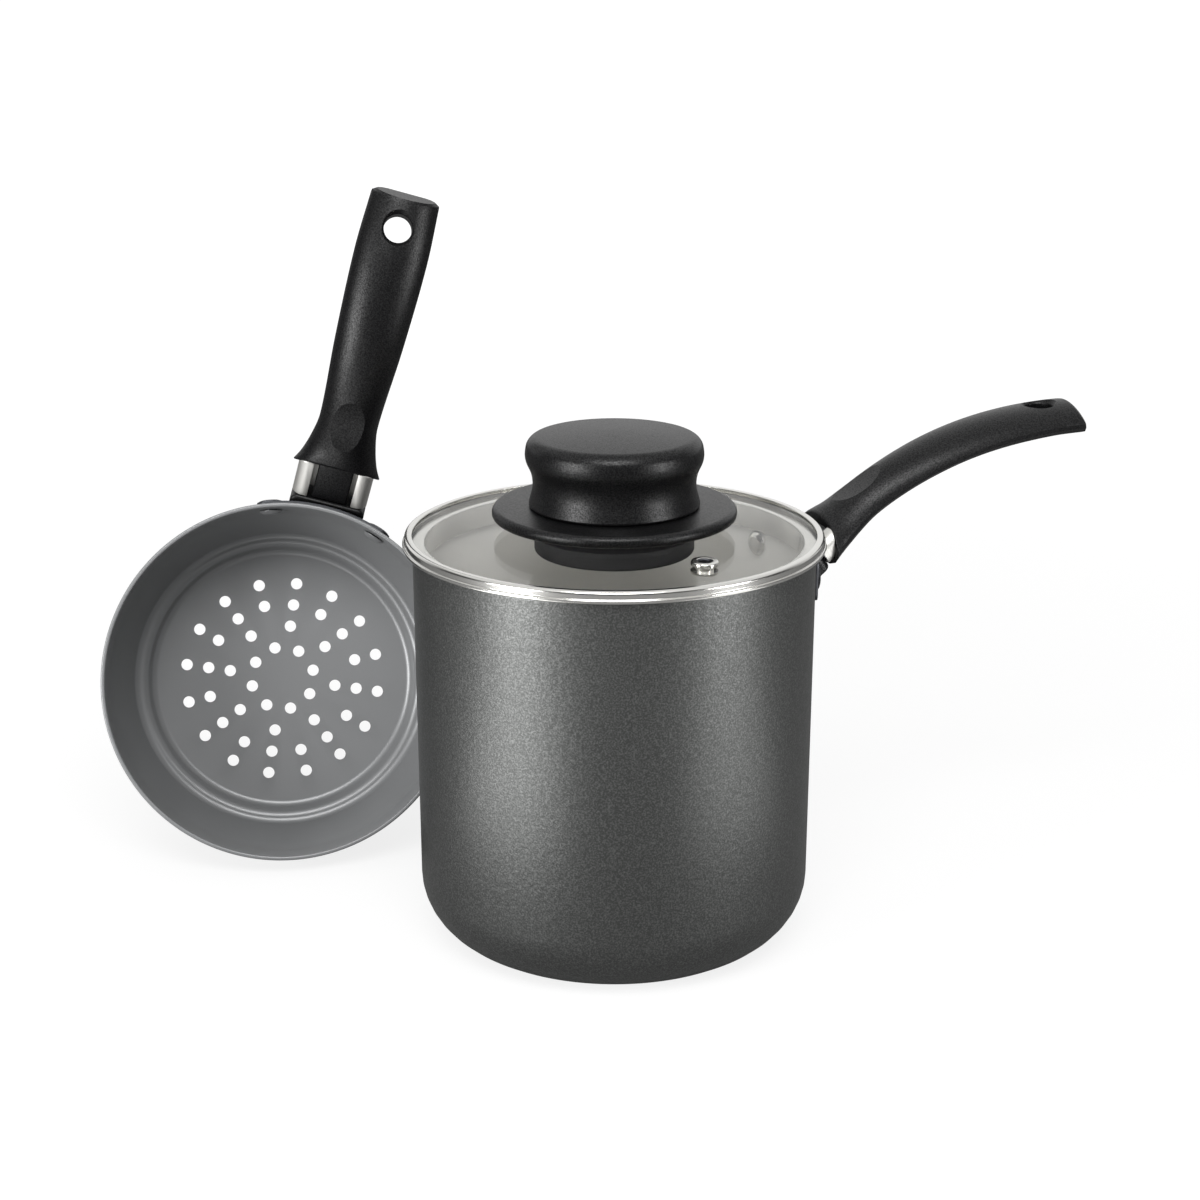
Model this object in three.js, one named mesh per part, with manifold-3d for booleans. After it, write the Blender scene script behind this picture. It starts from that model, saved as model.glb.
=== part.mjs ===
// A couscous steamer: a tall pot with a glass lid, and the perforated steaming pan that goes
// with it, standing on its side beside the pot. Millimetres, +Z up, the origin in the middle of
// the pot's base, the pot's front towards -Y.

import * as THREE from "three";
import { mergeVertices } from "three/addons/utils/BufferGeometryUtils.js";
import Module from "manifold-3d";

const wasm = await Module();
wasm.setup();

// Fits and facets
const GAP = 0.3; // air between two pieces that seat on each other
const ROUND = 48; // facets round a vessel or the lid
const SMALL_ROUND = 16; // facets round a fastener

// Pot
const MOUTH_RADIUS = 72.2; // outside of the pot's mouth
const POT_HEIGHT = 147.6;
const POT_WALL = 2.6;
const POT_FLOOR = 2.6;
const POT_CORNER = 23.5; // outside radius between wall and base
const POT_DRAFT = 0.8; // the wall is this much narrower at the base

// Steaming pan, measured down from its rim
const PAN_WALL = 1.6;
const PAN_FLARE = 1.7; // degrees, of the upper wall, which wedges in the pot's mouth
const PAN_SEAT_DEPTH = 24; // where the upper wall ends, and where the pot's mouth holds it
const PAN_LEDGE_DEPTH = 50;
const PAN_TAPER = 9; // how far the wall draws in from the rim to the ledge
const PAN_LEDGE = 4.4; // width of the ledge
const PAN_STEP = 5.5; // from the ledge down to the floor
const PAN_STEP_SLOPE = 24; // degrees off the axis
const HOLE_RADIUS = 2.35;
const HOLE_RINGS = [
  { share: 0.245, holes: 8, start: 16.6 },
  { share: 0.413, holes: 8, start: -5.7 },
  { share: 0.582, holes: 16, start: -5.7 },
  { share: 0.751, holes: 16, start: -5.7 },
]; // share of the floor's radius, and degrees clockwise from the handle seen from the open side

// Where the pan stands: the middle of its rim seen from above, and how it is turned
const PAN_X = -130;
const PAN_Y = 60;
const PAN_YAW = 8.7; // degrees its mouth turns towards +X
const PAN_ROLL = 16.5; // degrees its handle leans to the right

// Handle, the same for both vessels: a straight rise from the wall, a bend, a level tail
const HANDLE_AZIMUTH = 21; // degrees round the pot, from +X towards the back
const HANDLE_DROP = 12; // of the handle's middle line below the rim, at the wall
const HANDLE_RISE = 38.5; // degrees
const HANDLE_STRAIGHT = 10; // of the handle itself, before it bends
const HANDLE_BEND_RADIUS = 148;
const HANDLE_TAIL = 4.5;
const HANDLE_STATIONS = [0, 0.045, 0.11, 0.2, 0.5, 0.8, 1]; // shares of the handle's length
const HANDLE_HALF_WIDTHS = [17.6, 15.1, 12.9, 11.5, 13.2, 14.1, 13.2];
const HANDLE_CROWNS = [7.5, 7.2, 6.6, 6.3, 5.8, 5.2, 5.4]; // above the middle line
const HANDLE_BELLIES = [6.6, 6.3, 5.8, 5.5, 5.5, 6.1, 5.8]; // below it
const HANDLE_WAIST = 0.3; // where the handle is widest, as a share of the belly
const COLLAR_SLANT = 0.7; // how far the collar's lower edge reaches back, per unit of height
const TIP_ROUND = 1.5;
const TIP_SLANT = 0.4; // how far the end face leans back, per unit of height
const THUMB_REST = 23; // its middle, from the collar
const THUMB_REST_LENGTH = 24;
const THUMB_REST_DEPTH = 1.6;
const HANG_HOLE_RADIUS = 5.4;
const HANG_HOLE_SINK = 1.5; // how much wider, and how deep, the hole's rim is
const HANG_HOLE_INSET = 13; // from the handle's end

// Handle fixing
const FOOT_WIDTH = 30;
const FOOT_HEIGHT = 11;
const POT_FOOT_LENGTH = 5; // from the wall, along the rise
const POT_SLEEVE_LENGTH = 5;
const PAN_FOOT_LENGTH = 7;
const PAN_SLEEVE_LENGTH = 12.5; // long, so that the handle clears the pot's lid
const SLEEVE_WIDTH = 30;
const SLEEVE_HEIGHT = 9.6;
const SLEEVE_SHEET = 1.2;
const SLEEVE_CORNER = 4;
const SLEEVE_MOUTH = 1.8; // between the tongue and each lip of the sleeve
const TONGUE_WIDTH = 14;
const STEM_WIDTH = 12;
const STEM_THICKNESS = 2.4;
const STEM_REACH = 14; // into the handle
const SADDLE_SPREAD = 22.5; // degrees to each side
const SADDLE_SHEET = 0.9;
const SADDLE_TOP = 5; // below the rim
const SADDLE_HEIGHT = 17;
const SADDLE_CORNER = 4;
const RIVET_SPREAD = 18; // degrees to each side
const RIVET_DROP = 13.5; // below the rim
const RIVET_RADIUS = 2.4;
const RIVET_HEAD_RADIUS = 4.5;
const RIVET_HEAD = 1.4; // inside
const RIVET_TAIL = 0.8; // pressed flat outside
const SCREW_RADIUS = 2;
const SCREW_HEAD_RADIUS = 3.8;
const SCREW_HEAD = 1.4;
const SCREW_LENGTH = 8;

// Lid, measured up from the pot's rim
const LID_SHEET = 0.5;
const LID_SKIRT_CLEARANCE = 0.5; // between the skirt and the narrower of the two mouths
const LID_SKIRT_DEPTH = 8;
const LID_BEAD_OVERHANG = 3.5; // of the bead past the mouth
const LID_BEAD = 1.5; // height of the bead
const LID_BAND_SETBACK = 0.7; // of the band behind the bead
const LID_LIP = 2.2; // how far the rim's lip reaches in over the glass
const GLASS_THICKNESS = 2.6;
const GLASS_RISE = 2.4; // of the middle above the edge
const VENT_REACH = 54;
const VENT_AZIMUTH = -55.5; // degrees from +X, towards the front
const VENT_BORE = 2.2;
const VENT_TUBE = 3.2;
const VENT_FLANGE_RADIUS = 4.75;
const VENT_FLANGE = 1.5;

// Knob
const GASKET_THICKNESS = 1;
const GUARD_BOSS_RADIUS = 28.6;
const GUARD_BOSS = 2.2; // height of the boss under the finger guard
const GUARD_RADIUS = 43.7;
const GUARD_DISC = 4.3;
const KNOB_FOOT_RADIUS = 30.8;
const KNOB_WAIST_RADIUS = 28.8;
const KNOB_HEAD_RADIUS = 31.85;
const KNOB_HEIGHT = 26;
const BOLT_RADIUS = 2.5;
const BOLT_HEAD_RADIUS = 5;
const BOLT_HEAD = 2.8;
const BACKING_RADIUS = 28.6; // black disc under the glass
const BACKING_THICKNESS = 6.4;
const BACKING_WEB = 1.8; // what the washer clamps, above its recess
const WASHER_RADIUS = 9;
const WASHER_THICKNESS = 1.2;
const WASHER_ROOM = 1; // round the washer in its recess
const INSERT_RADIUS = 5;
const INSERT_LENGTH = 13;

const rad = THREE.MathUtils.degToRad;

// A polyline of [radius, height, fillet] whose filleted corners are drawn as curves.
function rounded(corners) {
  return corners.flatMap(([x, y, fillet = 0], i) => {
    const corner = new THREE.Vector2(x, y);
    if (!fillet || i === 0 || i === corners.length - 1) return [corner];
    const before = new THREE.Vector2(...corners[i - 1]).sub(corner);
    const after = new THREE.Vector2(...corners[i + 1]).sub(corner);
    const turn = Math.PI - Math.acos(before.dot(after) / before.length() / after.length());
    const most = 0.48 * Math.min(before.length(), after.length());
    const reach = Math.min(fillet * Math.tan(turn / 2), most);
    const start = corner.clone().add(before.setLength(reach));
    const end = corner.clone().add(after.setLength(reach));
    const facets = THREE.MathUtils.clamp(Math.round((turn * Math.sqrt(fillet)) / 0.9), 1, 8);
    return new THREE.QuadraticBezierCurve(start, corner, end).getPoints(facets);
  });
}

// A solid of revolution about Z. The profile goes out along the bottom and back along the top.
function turned(corners, facets = ROUND) {
  return new THREE.LatheGeometry(rounded(corners), facets).rotateX(Math.PI / 2);
}

// A turned ring, whose profile closes on itself.
function turnedRing(corners, facets = ROUND) {
  const points = rounded([...corners, corners[0]]);
  return new THREE.LatheGeometry(points, facets).rotateX(Math.PI / 2);
}

function solid(geometry) {
  const bare = new THREE.BufferGeometry();
  bare.setAttribute("position", geometry.getAttribute("position"));
  bare.setIndex(geometry.index);
  const merged = mergeVertices(bare, 1e-4);
  const vertProperties = merged.getAttribute("position").array;
  const triVerts = new Uint32Array(merged.index.array);
  return new wasm.Manifold(new wasm.Mesh({ numProp: 3, vertProperties, triVerts }));
}

function geometryOf(made) {
  const { vertProperties, triVerts } = made.getMesh();
  const geometry = new THREE.BufferGeometry();
  geometry.setAttribute("position", new THREE.BufferAttribute(vertProperties, 3));
  return geometry.setIndex(new THREE.BufferAttribute(triVerts, 1));
}

const cut = (body, ...tools) =>
  geometryOf(tools.reduce((left, tool) => left.subtract(solid(tool)), solid(body)));
const join = (...bodies) => geometryOf(wasm.Manifold.union(bodies.map(solid)));
const common = (a, b) => geometryOf(solid(a).intersect(solid(b)));

// A round bar along Z between two heights.
function bar(radius, low, high, facets = SMALL_ROUND) {
  const drawn = new THREE.CylinderGeometry(radius, radius, high - low, facets);
  return drawn.rotateX(Math.PI / 2).translate(0, 0, (low + high) / 2);
}

// A box between two corners.
function block([x0, y0, z0], [x1, y1, z1]) {
  const drawn = new THREE.BoxGeometry(x1 - x0, y1 - y0, z1 - z0);
  return drawn.translate((x0 + x1) / 2, (y0 + y1) / 2, (z0 + z1) / 2);
}

// A rounded bar along X, width along Y and height along Z, both about the middle.
function roundedBar(x0, x1, width, height, radius) {
  const w = width / 2;
  const h = height / 2;
  const outline = new THREE.Shape();
  outline.moveTo(-w + radius, -h).lineTo(w - radius, -h);
  outline.quadraticCurveTo(w, -h, w, -h + radius).lineTo(w, h - radius);
  outline.quadraticCurveTo(w, h, w - radius, h).lineTo(-w + radius, h);
  outline.quadraticCurveTo(-w, h, -w, h - radius).lineTo(-w, -h + radius);
  outline.quadraticCurveTo(-w, -h, -w + radius, -h);
  const drawn = new THREE.ExtrudeGeometry(outline, {
    depth: x1 - x0,
    bevelEnabled: false,
    curveSegments: 4,
  });
  const axes = [[0, 1, 0], [0, 0, 1], [1, 0, 0]].map((axis) => new THREE.Vector3(...axis));
  return drawn.applyMatrix4(new THREE.Matrix4().makeBasis(...axes)).translate(x0, 0, 0);
}

// A closed skin over rings of points, each ring with as many points as the next.
function lofted(rings) {
  const n = rings[0].length;
  const points = rings.flat();
  const index = [];
  for (let k = 0; k < rings.length - 1; k++)
    for (let i = 0; i < n; i++) {
      const j = (i + 1) % n;
      index.push(k * n + i, k * n + j, (k + 1) * n + j);
      index.push(k * n + i, (k + 1) * n + j, (k + 1) * n + i);
    }
  const last = (rings.length - 1) * n;
  for (let i = 1; i < n - 1; i++) {
    index.push(0, i + 1, i);
    index.push(last, last + i, last + i + 1);
  }
  return new THREE.BufferGeometry().setFromPoints(points).setIndex(index);
}

const finish = (color, roughness, metalness) =>
  new THREE.MeshStandardMaterial({ color, roughness, metalness });
const COATED = ["#4a4b4e", 0.55, 0.25];
const LINED = ["#77767a", 0.5, 0.35];
const BAKELITE = ["#191919", 0.45, 0];
const BRIGHT = ["#d9d9d6", 0.14, 1];
const STEEL = ["#9a9a98", 0.35, 1];
const BRASS = ["#b08d4a", 0.35, 1];
const RUBBER = ["#262626", 0.8, 0];

function add(group, name, geometry, look) {
  const mesh = new THREE.Mesh(geometry, finish(...look));
  mesh.name = name;
  group.add(mesh);
}

const root = new THREE.Group();
root.name = "couscous_steamer";
const pot = new THREE.Group();
const lid = new THREE.Group();
lid.position.z = POT_HEIGHT;
const pan = new THREE.Group();
root.add(pot, lid, pan);

// Each vessel's mouth, and how far its handle stands off
const collarAt = (foot, sleeve) => foot + GAP + sleeve + GAP;
const potFlare = Math.atan(POT_DRAFT / POT_HEIGHT);
const potInside = MOUTH_RADIUS - POT_WALL;
const potMouth = {
  radius: MOUTH_RADIUS,
  flare: potFlare,
  wall: POT_WALL,
  foot: POT_FOOT_LENGTH,
  collar: collarAt(POT_FOOT_LENGTH, POT_SLEEVE_LENGTH),
};
const panFlare = rad(PAN_FLARE);
const panRadius = potInside + PAN_SEAT_DEPTH * Math.tan(panFlare);
const panInside = panRadius - PAN_WALL;
const panMouth = {
  radius: panRadius,
  flare: panFlare,
  wall: PAN_WALL,
  foot: PAN_FOOT_LENGTH,
  collar: collarAt(PAN_FOOT_LENGTH, PAN_SLEEVE_LENGTH),
};

// The lid's rim, which fits both mouths and which the handles have to clear
const lidSeat = GAP;
const lidBeadRadius = MOUTH_RADIUS + LID_BEAD_OVERHANG;
const lidBandRadius = lidBeadRadius - LID_BAND_SETBACK;
const panAtSkirt = panInside - LID_SKIRT_DEPTH * Math.tan(panFlare);
const lidSkirtRadius = Math.min(potInside, panAtSkirt) - LID_SKIRT_CLEARANCE;

// The radius of a vessel's outside at a height above its rim
const outside = ({ radius, flare }, z) => radius + z * Math.tan(flare);

// A cone that fills a vessel's mouth, its side this far out from the vessel's outside.
function filledMouth(mouth, out, low, high) {
  const at = (z) => [outside(mouth, z) + out, z];
  return turned([[0, low], at(low), at(high), [0, high]]);
}

// The frame of the handle's straight rise: X along it from the wall, Z square to it
function onRise(mouth, geometry) {
  return geometry.rotateY(-rad(HANDLE_RISE)).translate(mouth.radius, 0, -HANDLE_DROP);
}

// A place on the handle's middle line, so far from the collar: its point, and the directions
// along the line and square to it
function onHandle(mouth, reach) {
  const rise = rad(HANDLE_RISE);
  const pastRise = reach - HANDLE_STRAIGHT;
  const slope = rise - THREE.MathUtils.clamp(pastRise / HANDLE_BEND_RADIUS, 0, rise);
  const straight = mouth.collar + Math.min(reach, HANDLE_STRAIGHT);
  const tail = Math.max(pastRise - HANDLE_BEND_RADIUS * rise, 0);
  const dx = HANDLE_BEND_RADIUS * (Math.sin(rise) - Math.sin(slope));
  const dz = HANDLE_BEND_RADIUS * (Math.cos(slope) - Math.cos(rise));
  const x = mouth.radius + straight * Math.cos(rise) + dx + tail;
  const z = -HANDLE_DROP + straight * Math.sin(rise) + dz;
  const ahead = new THREE.Vector3(Math.cos(slope), 0, Math.sin(slope));
  const up = new THREE.Vector3(-Math.sin(slope), 0, Math.cos(slope));
  return { point: new THREE.Vector3(x, 0, z), ahead, up };
}

const handleLength = HANDLE_STRAIGHT + HANDLE_BEND_RADIUS * rad(HANDLE_RISE) + HANDLE_TAIL;
const widths = new THREE.CubicInterpolant(HANDLE_STATIONS, HANDLE_HALF_WIDTHS, 1);
const crowns = new THREE.CubicInterpolant(HANDLE_STATIONS, HANDLE_CROWNS, 1);
const bellies = new THREE.CubicInterpolant(HANDLE_STATIONS, HANDLE_BELLIES, 1);
const crownAt = (reach) => crowns.evaluate(reach / handleLength)[0];

// One section of the handle: a crowned top, a waist line, and a belly that draws in to a flat
function handleSection(mouth, share) {
  const place = onHandle(mouth, share * handleLength);
  const tip = Math.max(0, 1 - ((1 - share) * handleLength) / TIP_ROUND);
  const w = widths.evaluate(share)[0] - TIP_ROUND * tip;
  const top = crowns.evaluate(share)[0] - 0.6 * TIP_ROUND * tip;
  const low = bellies.evaluate(share)[0] - 0.6 * TIP_ROUND * tip;
  const waist = -HANDLE_WAIST * low;
  const fuller = (value) => Math.sign(value) * Math.abs(value) ** 0.85;
  const outline = [];
  for (let k = 0; k <= 10; k++) {
    const turn = (Math.PI * k) / 10;
    outline.push([w * fuller(Math.cos(turn)), waist + (top - waist) * fuller(Math.sin(turn))]);
  }
  outline.push([-0.93 * w, -0.6 * low], [-0.6 * w, -low], [0.6 * w, -low], [0.93 * w, -0.6 * low]);
  const { smoothstep } = THREE.MathUtils;
  const collarSlant = COLLAR_SLANT * (1 - smoothstep(share, 0, 0.12));
  const tipSlant = TIP_SLANT * smoothstep(share, 0.86, 1);
  return outline.map(([y, z]) =>
    place.point
      .clone()
      .addScaledVector(place.up, z)
      .addScaledVector(place.ahead, collarSlant * z - tipSlant * (z + 0.5 * low))
      .setY(y),
  );
}

// Heights of the stem and of the tongue over it, both inside the sleeve
const stemLow = SLEEVE_SHEET + GAP - SLEEVE_HEIGHT / 2;
const stemHigh = stemLow + STEM_THICKNESS;
const stemSide = STEM_WIDTH / 2;
const tongueLow = stemHigh + GAP;
const tongueHigh = SLEEVE_HEIGHT / 2 - 0.5;
const screwReach = 0.6 * STEM_REACH; // past the collar
const screwSeat = stemLow - GAP;
const screwTip = screwSeat + SCREW_LENGTH;
const belowHandle = -2 * SLEEVE_HEIGHT;

function handleGeometry(mouth) {
  const { foot, collar } = mouth;
  const rings = [];
  for (let k = 0; k <= 20; k++) rings.push(handleSection(mouth, (k / 20) ** 1.35));
  rings.splice(-1, 0, handleSection(mouth, 1 - TIP_ROUND / handleLength));
  const wide = SLEEVE_WIDTH + 2 * GAP;
  const high = SLEEVE_HEIGHT + 2 * GAP;
  const socket = onRise(mouth, roundedBar(foot, collar, wide, high, SLEEVE_CORNER + GAP));

  const half = TONGUE_WIDTH / 2;
  const inCollar = collar + 0.5 * STEM_REACH;
  const tongue = block([foot + GAP, -half, tongueLow], [inCollar, half, tongueHigh]);
  const side = stemSide + GAP;
  const slotEnd = collar + STEM_REACH + GAP;
  const slot = block([foot, -side, stemLow - GAP], [slotEnd, side, stemHigh + GAP]);
  const screwAt = collar + screwReach;
  const pilot = bar(SCREW_RADIUS + GAP, belowHandle, screwTip + GAP).translate(screwAt, 0, 0);
  const sink = bar(SCREW_HEAD_RADIUS + GAP, belowHandle, stemLow).translate(screwAt, 0, 0);

  const holeReach = handleLength - HANG_HOLE_INSET;
  const hole = onHandle(mouth, holeReach).point;
  const top = crownAt(holeReach);
  const sinkRadius = HANG_HOLE_RADIUS + HANG_HOLE_SINK;
  const hang = turned(
    [
      [0, -3 * top],
      [HANG_HOLE_RADIUS, -3 * top],
      [HANG_HOLE_RADIUS, top - HANG_HOLE_SINK],
      [sinkRadius, top],
      [sinkRadius, 3 * top],
      [0, 3 * top],
    ],
    20,
  ).translate(hole.x, 0, hole.z);

  // The thumb rest is scooped out by a wide roller that lies across the crown.
  const rest = onHandle(mouth, THUMB_REST);
  const restHalf = THUMB_REST_LENGTH / 2;
  const fall = crownAt(THUMB_REST - restHalf) - crownAt(THUMB_REST + restHalf);
  const slope = Math.atan2(rest.ahead.z, rest.ahead.x) - Math.atan(fall / THUMB_REST_LENGTH);
  const rollerRadius = restHalf ** 2 / (2 * THUMB_REST_DEPTH);
  const deepest = crownAt(THUMB_REST) - THUMB_REST_DEPTH;
  const roller = new THREE.CylinderGeometry(rollerRadius, rollerRadius, 4 * half, 72);
  const reached = block([-restHalf, -2 * half, 0], [restHalf, 2 * half, 3 * deepest]);
  const scoop = common(roller.translate(0, 0, deepest + rollerRadius), reached)
    .rotateY(-slope)
    .translate(rest.point.x, 0, rest.point.z);

  const grip = join(cut(lofted(rings), socket), onRise(mouth, tongue));
  return cut(grip, ...[slot, pilot, sink].map((tool) => onRise(mouth, tool)), hang, scoop);
}

// Everything that holds a handle to a vessel, in the vessel's own frame: the rim at height zero,
// the handle along +X. Gives back the bores of its rivets.
function addHandle(group, name, mouth) {
  const { radius, flare, wall, foot, collar } = mouth;

  const saddleLow = -SADDLE_TOP - SADDLE_HEIGHT;
  const inner = (z) => outside(mouth, z) + GAP;
  const band = turnedRing([
    [inner(saddleLow), saddleLow],
    [inner(saddleLow) + SADDLE_SHEET, saddleLow],
    [inner(-SADDLE_TOP) + SADDLE_SHEET, -SADDLE_TOP],
    [inner(-SADDLE_TOP), -SADDLE_TOP],
  ]);
  const wide = 2 * radius * Math.sin(rad(SADDLE_SPREAD));
  const window = roundedBar(0, 2 * radius, wide, SADDLE_HEIGHT, SADDLE_CORNER);
  const saddle = common(band, window.translate(0, 0, saddleLow + SADDLE_HEIGHT / 2));
  const stem = block([-SADDLE_HEIGHT, -stemSide, stemLow], [collar + STEM_REACH, stemSide, stemHigh]);
  const behind = filledMouth(mouth, GAP, -radius, radius);
  const screwBore = bar(SCREW_RADIUS + GAP, belowHandle, screwTip).translate(collar + screwReach, 0, 0);
  const rivetAt = (side) => (geometry) =>
    geometry
      .rotateY(Math.PI / 2 + flare)
      .translate(outside(mouth, -RIVET_DROP), 0, -RIVET_DROP)
      .rotateZ(side * rad(RIVET_SPREAD));
  const boreHalf = wall + 4 * RIVET_HEAD;
  const rivetBores = [-1, 1].map((side) =>
    rivetAt(side)(bar(RIVET_RADIUS + GAP, -boreHalf, boreHalf)),
  );
  const arm = cut(onRise(mouth, stem), behind);
  const bracket = cut(join(saddle, arm), onRise(mouth, screwBore), ...rivetBores);
  add(group, `${name}_bracket`, bracket, STEEL);

  // A rivet's flat head stands off the round wall, and off the wall's facets
  const sag = RIVET_HEAD_RADIUS ** 2 / (2 * radius) + radius * (1 - Math.cos(Math.PI / ROUND));
  const headIn = -wall - GAP - sag;
  const headOut = GAP + SADDLE_SHEET + GAP;
  for (const [side, word] of [[-1, "right"], [1, "left"]]) {
    const rivet = turned(
      [
        [0, headIn - RIVET_HEAD],
        [0.62 * RIVET_HEAD_RADIUS, headIn - RIVET_HEAD],
        [RIVET_HEAD_RADIUS, headIn - 0.4 * RIVET_HEAD],
        [RIVET_HEAD_RADIUS, headIn],
        [RIVET_RADIUS, headIn],
        [RIVET_RADIUS, headOut],
        [RIVET_HEAD_RADIUS, headOut],
        [RIVET_HEAD_RADIUS, headOut + 0.4 * RIVET_TAIL],
        [0.62 * RIVET_HEAD_RADIUS, headOut + RIVET_TAIL],
        [0, headOut + RIVET_TAIL],
      ],
      SMALL_ROUND,
    );
    add(group, `${name}_rivet_${word}`, rivetAt(side)(rivet), STEEL);
  }

  const face = filledMouth(mouth, 2 * GAP + SADDLE_SHEET, -radius, radius);
  const underLid = bar(lidBeadRadius + 2 * GAP, -2 * GAP, radius, ROUND);
  const way = stemSide + GAP;
  const stemWay = block([-radius, -way, stemLow - GAP], [collar, way, stemHigh + GAP]);
  const footBar = roundedBar(-FOOT_WIDTH, foot, FOOT_WIDTH, FOOT_HEIGHT, SLEEVE_CORNER);
  const spacer = cut(onRise(mouth, footBar), face, underLid, onRise(mouth, stemWay));
  add(group, `${name}_handle_foot`, spacer, BAKELITE);

  const from = foot + GAP;
  const to = collar - GAP;
  const hollow = 2 * SLEEVE_SHEET;
  const hollowCorner = SLEEVE_CORNER - SLEEVE_SHEET;
  const sleeve = roundedBar(from, to, SLEEVE_WIDTH, SLEEVE_HEIGHT, SLEEVE_CORNER);
  const room = roundedBar(foot, collar, SLEEVE_WIDTH - hollow, SLEEVE_HEIGHT - hollow, hollowCorner);
  const lip = TONGUE_WIDTH / 2 + SLEEVE_MOUTH;
  const gate = block([foot, -lip, 0], [collar, lip, SLEEVE_HEIGHT]);
  const guard = cut(onRise(mouth, cut(sleeve, room, gate)), underLid);
  add(group, `${name}_flame_guard`, guard, BRIGHT);

  add(group, `${name}_handle`, cut(handleGeometry(mouth), underLid), BAKELITE);

  const screw = turned(
    [
      [0, screwSeat - SCREW_HEAD],
      [SCREW_HEAD_RADIUS, screwSeat - SCREW_HEAD, 0.5],
      [SCREW_HEAD_RADIUS, screwSeat],
      [SCREW_RADIUS, screwSeat],
      [SCREW_RADIUS, screwTip],
      [0, screwTip],
    ],
    SMALL_ROUND,
  ).translate(collar + screwReach, 0, 0);
  add(group, `${name}_handle_screw`, onRise(mouth, screw), STEEL);
  return rivetBores;
}

// Pot
const potHandle = new THREE.Group();
potHandle.rotation.z = rad(HANDLE_AZIMUTH);
potHandle.position.z = POT_HEIGHT;
pot.add(potHandle);
const potBores = addHandle(potHandle, "pot", potMouth);
potHandle.updateMatrix();
const potBase = MOUTH_RADIUS - POT_DRAFT;
const potShell = turned([
  [0, 0],
  [potBase, 0, POT_CORNER],
  [MOUTH_RADIUS, POT_HEIGHT, 0.6],
  [potInside, POT_HEIGHT, 0.6],
  [potBase - POT_WALL, POT_FLOOR, POT_CORNER - POT_WALL],
  [0, POT_FLOOR],
]);
const potRivetBores = potBores.map((bore) => bore.applyMatrix4(potHandle.matrix));
add(pot, "pot_body", cut(potShell, ...potRivetBores), COATED);

// Steaming pan: the inside is drawn and the outside lies one wall thickness off it
const panFloor = -PAN_LEDGE_DEPTH - PAN_STEP;
const ledgeRadius = panInside - PAN_TAPER;
const stepRadius = ledgeRadius - PAN_LEDGE;
const floorRadius = stepRadius - PAN_STEP * Math.tan(rad(PAN_STEP_SLOPE));
const panLine = [
  [panInside, 0],
  [potInside - PAN_WALL, -PAN_SEAT_DEPTH, 50],
  [ledgeRadius, -PAN_LEDGE_DEPTH, 5],
  [stepRadius, -PAN_LEDGE_DEPTH, 3],
  [floorRadius, panFloor, 3],
  [0, panFloor],
];

// The line one wall thickness outside a drawn line, with its fillets grown or shrunk to match
function outsideOf(corners, thickness) {
  const at = corners.map(([x, y]) => new THREE.Vector2(x, y));
  const normal = (a, b) => new THREE.Vector2(a.y - b.y, b.x - a.x).normalize();
  return corners.map(([, , fillet = 0], i) => {
    const first = normal(at[Math.max(i - 1, 0)], at[Math.max(i, 1)]);
    const second = normal(at[Math.min(i, at.length - 2)], at[Math.min(i + 1, at.length - 1)]);
    const middle = first.clone().add(second).normalize();
    const point = at[i].clone().addScaledVector(middle, thickness / middle.dot(first));
    const grows = first.cross(second) < 0 ? 1 : -1;
    return [point.x, point.y, fillet && Math.max(fillet + grows * thickness, 0.6)];
  });
}

const panBack = outsideOf(panLine, PAN_WALL);
panBack[0] = [panRadius, 0, 0.5];
panBack[panBack.length - 1] = [0, panFloor - PAN_WALL];
const panProfile = [...panBack.toReversed(), [panInside, 0, 0.5], ...panLine.slice(1)];
const perforation = HOLE_RINGS.flatMap(({ share, holes, start }) =>
  Array.from({ length: holes }, (_, k) =>
    bar(HOLE_RADIUS, panFloor - 2 * PAN_WALL, panFloor + PAN_WALL, 8)
      .translate(share * floorRadius, 0, 0)
      .rotateZ(-rad(start + (360 * k) / holes)),
  ),
);
const panBores = addHandle(pan, "pan", panMouth);
add(pan, "pan_body", cut(turned(panProfile), ...panBores, ...perforation), LINED);

// The pan lies on its drawn-in wall, which sets how far it leans back and how high its rim is.
const [, [wallTopRadius, wallTop], [wallEndRadius, wallEnd]] = panBack;
const panLean = Math.atan2(wallTopRadius - wallEndRadius, wallTop - wallEnd);
const panRimHeight = wallTopRadius * Math.cos(panLean) - wallTop * Math.sin(panLean);
const placed = [
  new THREE.Matrix4().makeTranslation(PAN_X, PAN_Y, panRimHeight),
  new THREE.Matrix4().makeRotationZ(rad(PAN_YAW)),
  new THREE.Matrix4().makeRotationX(Math.PI / 2 - panLean),
  new THREE.Matrix4().makeRotationZ(Math.PI / 2 - rad(PAN_ROLL)),
].reduce((whole, step) => whole.multiply(step), new THREE.Matrix4());
pan.applyMatrix4(placed);

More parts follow.
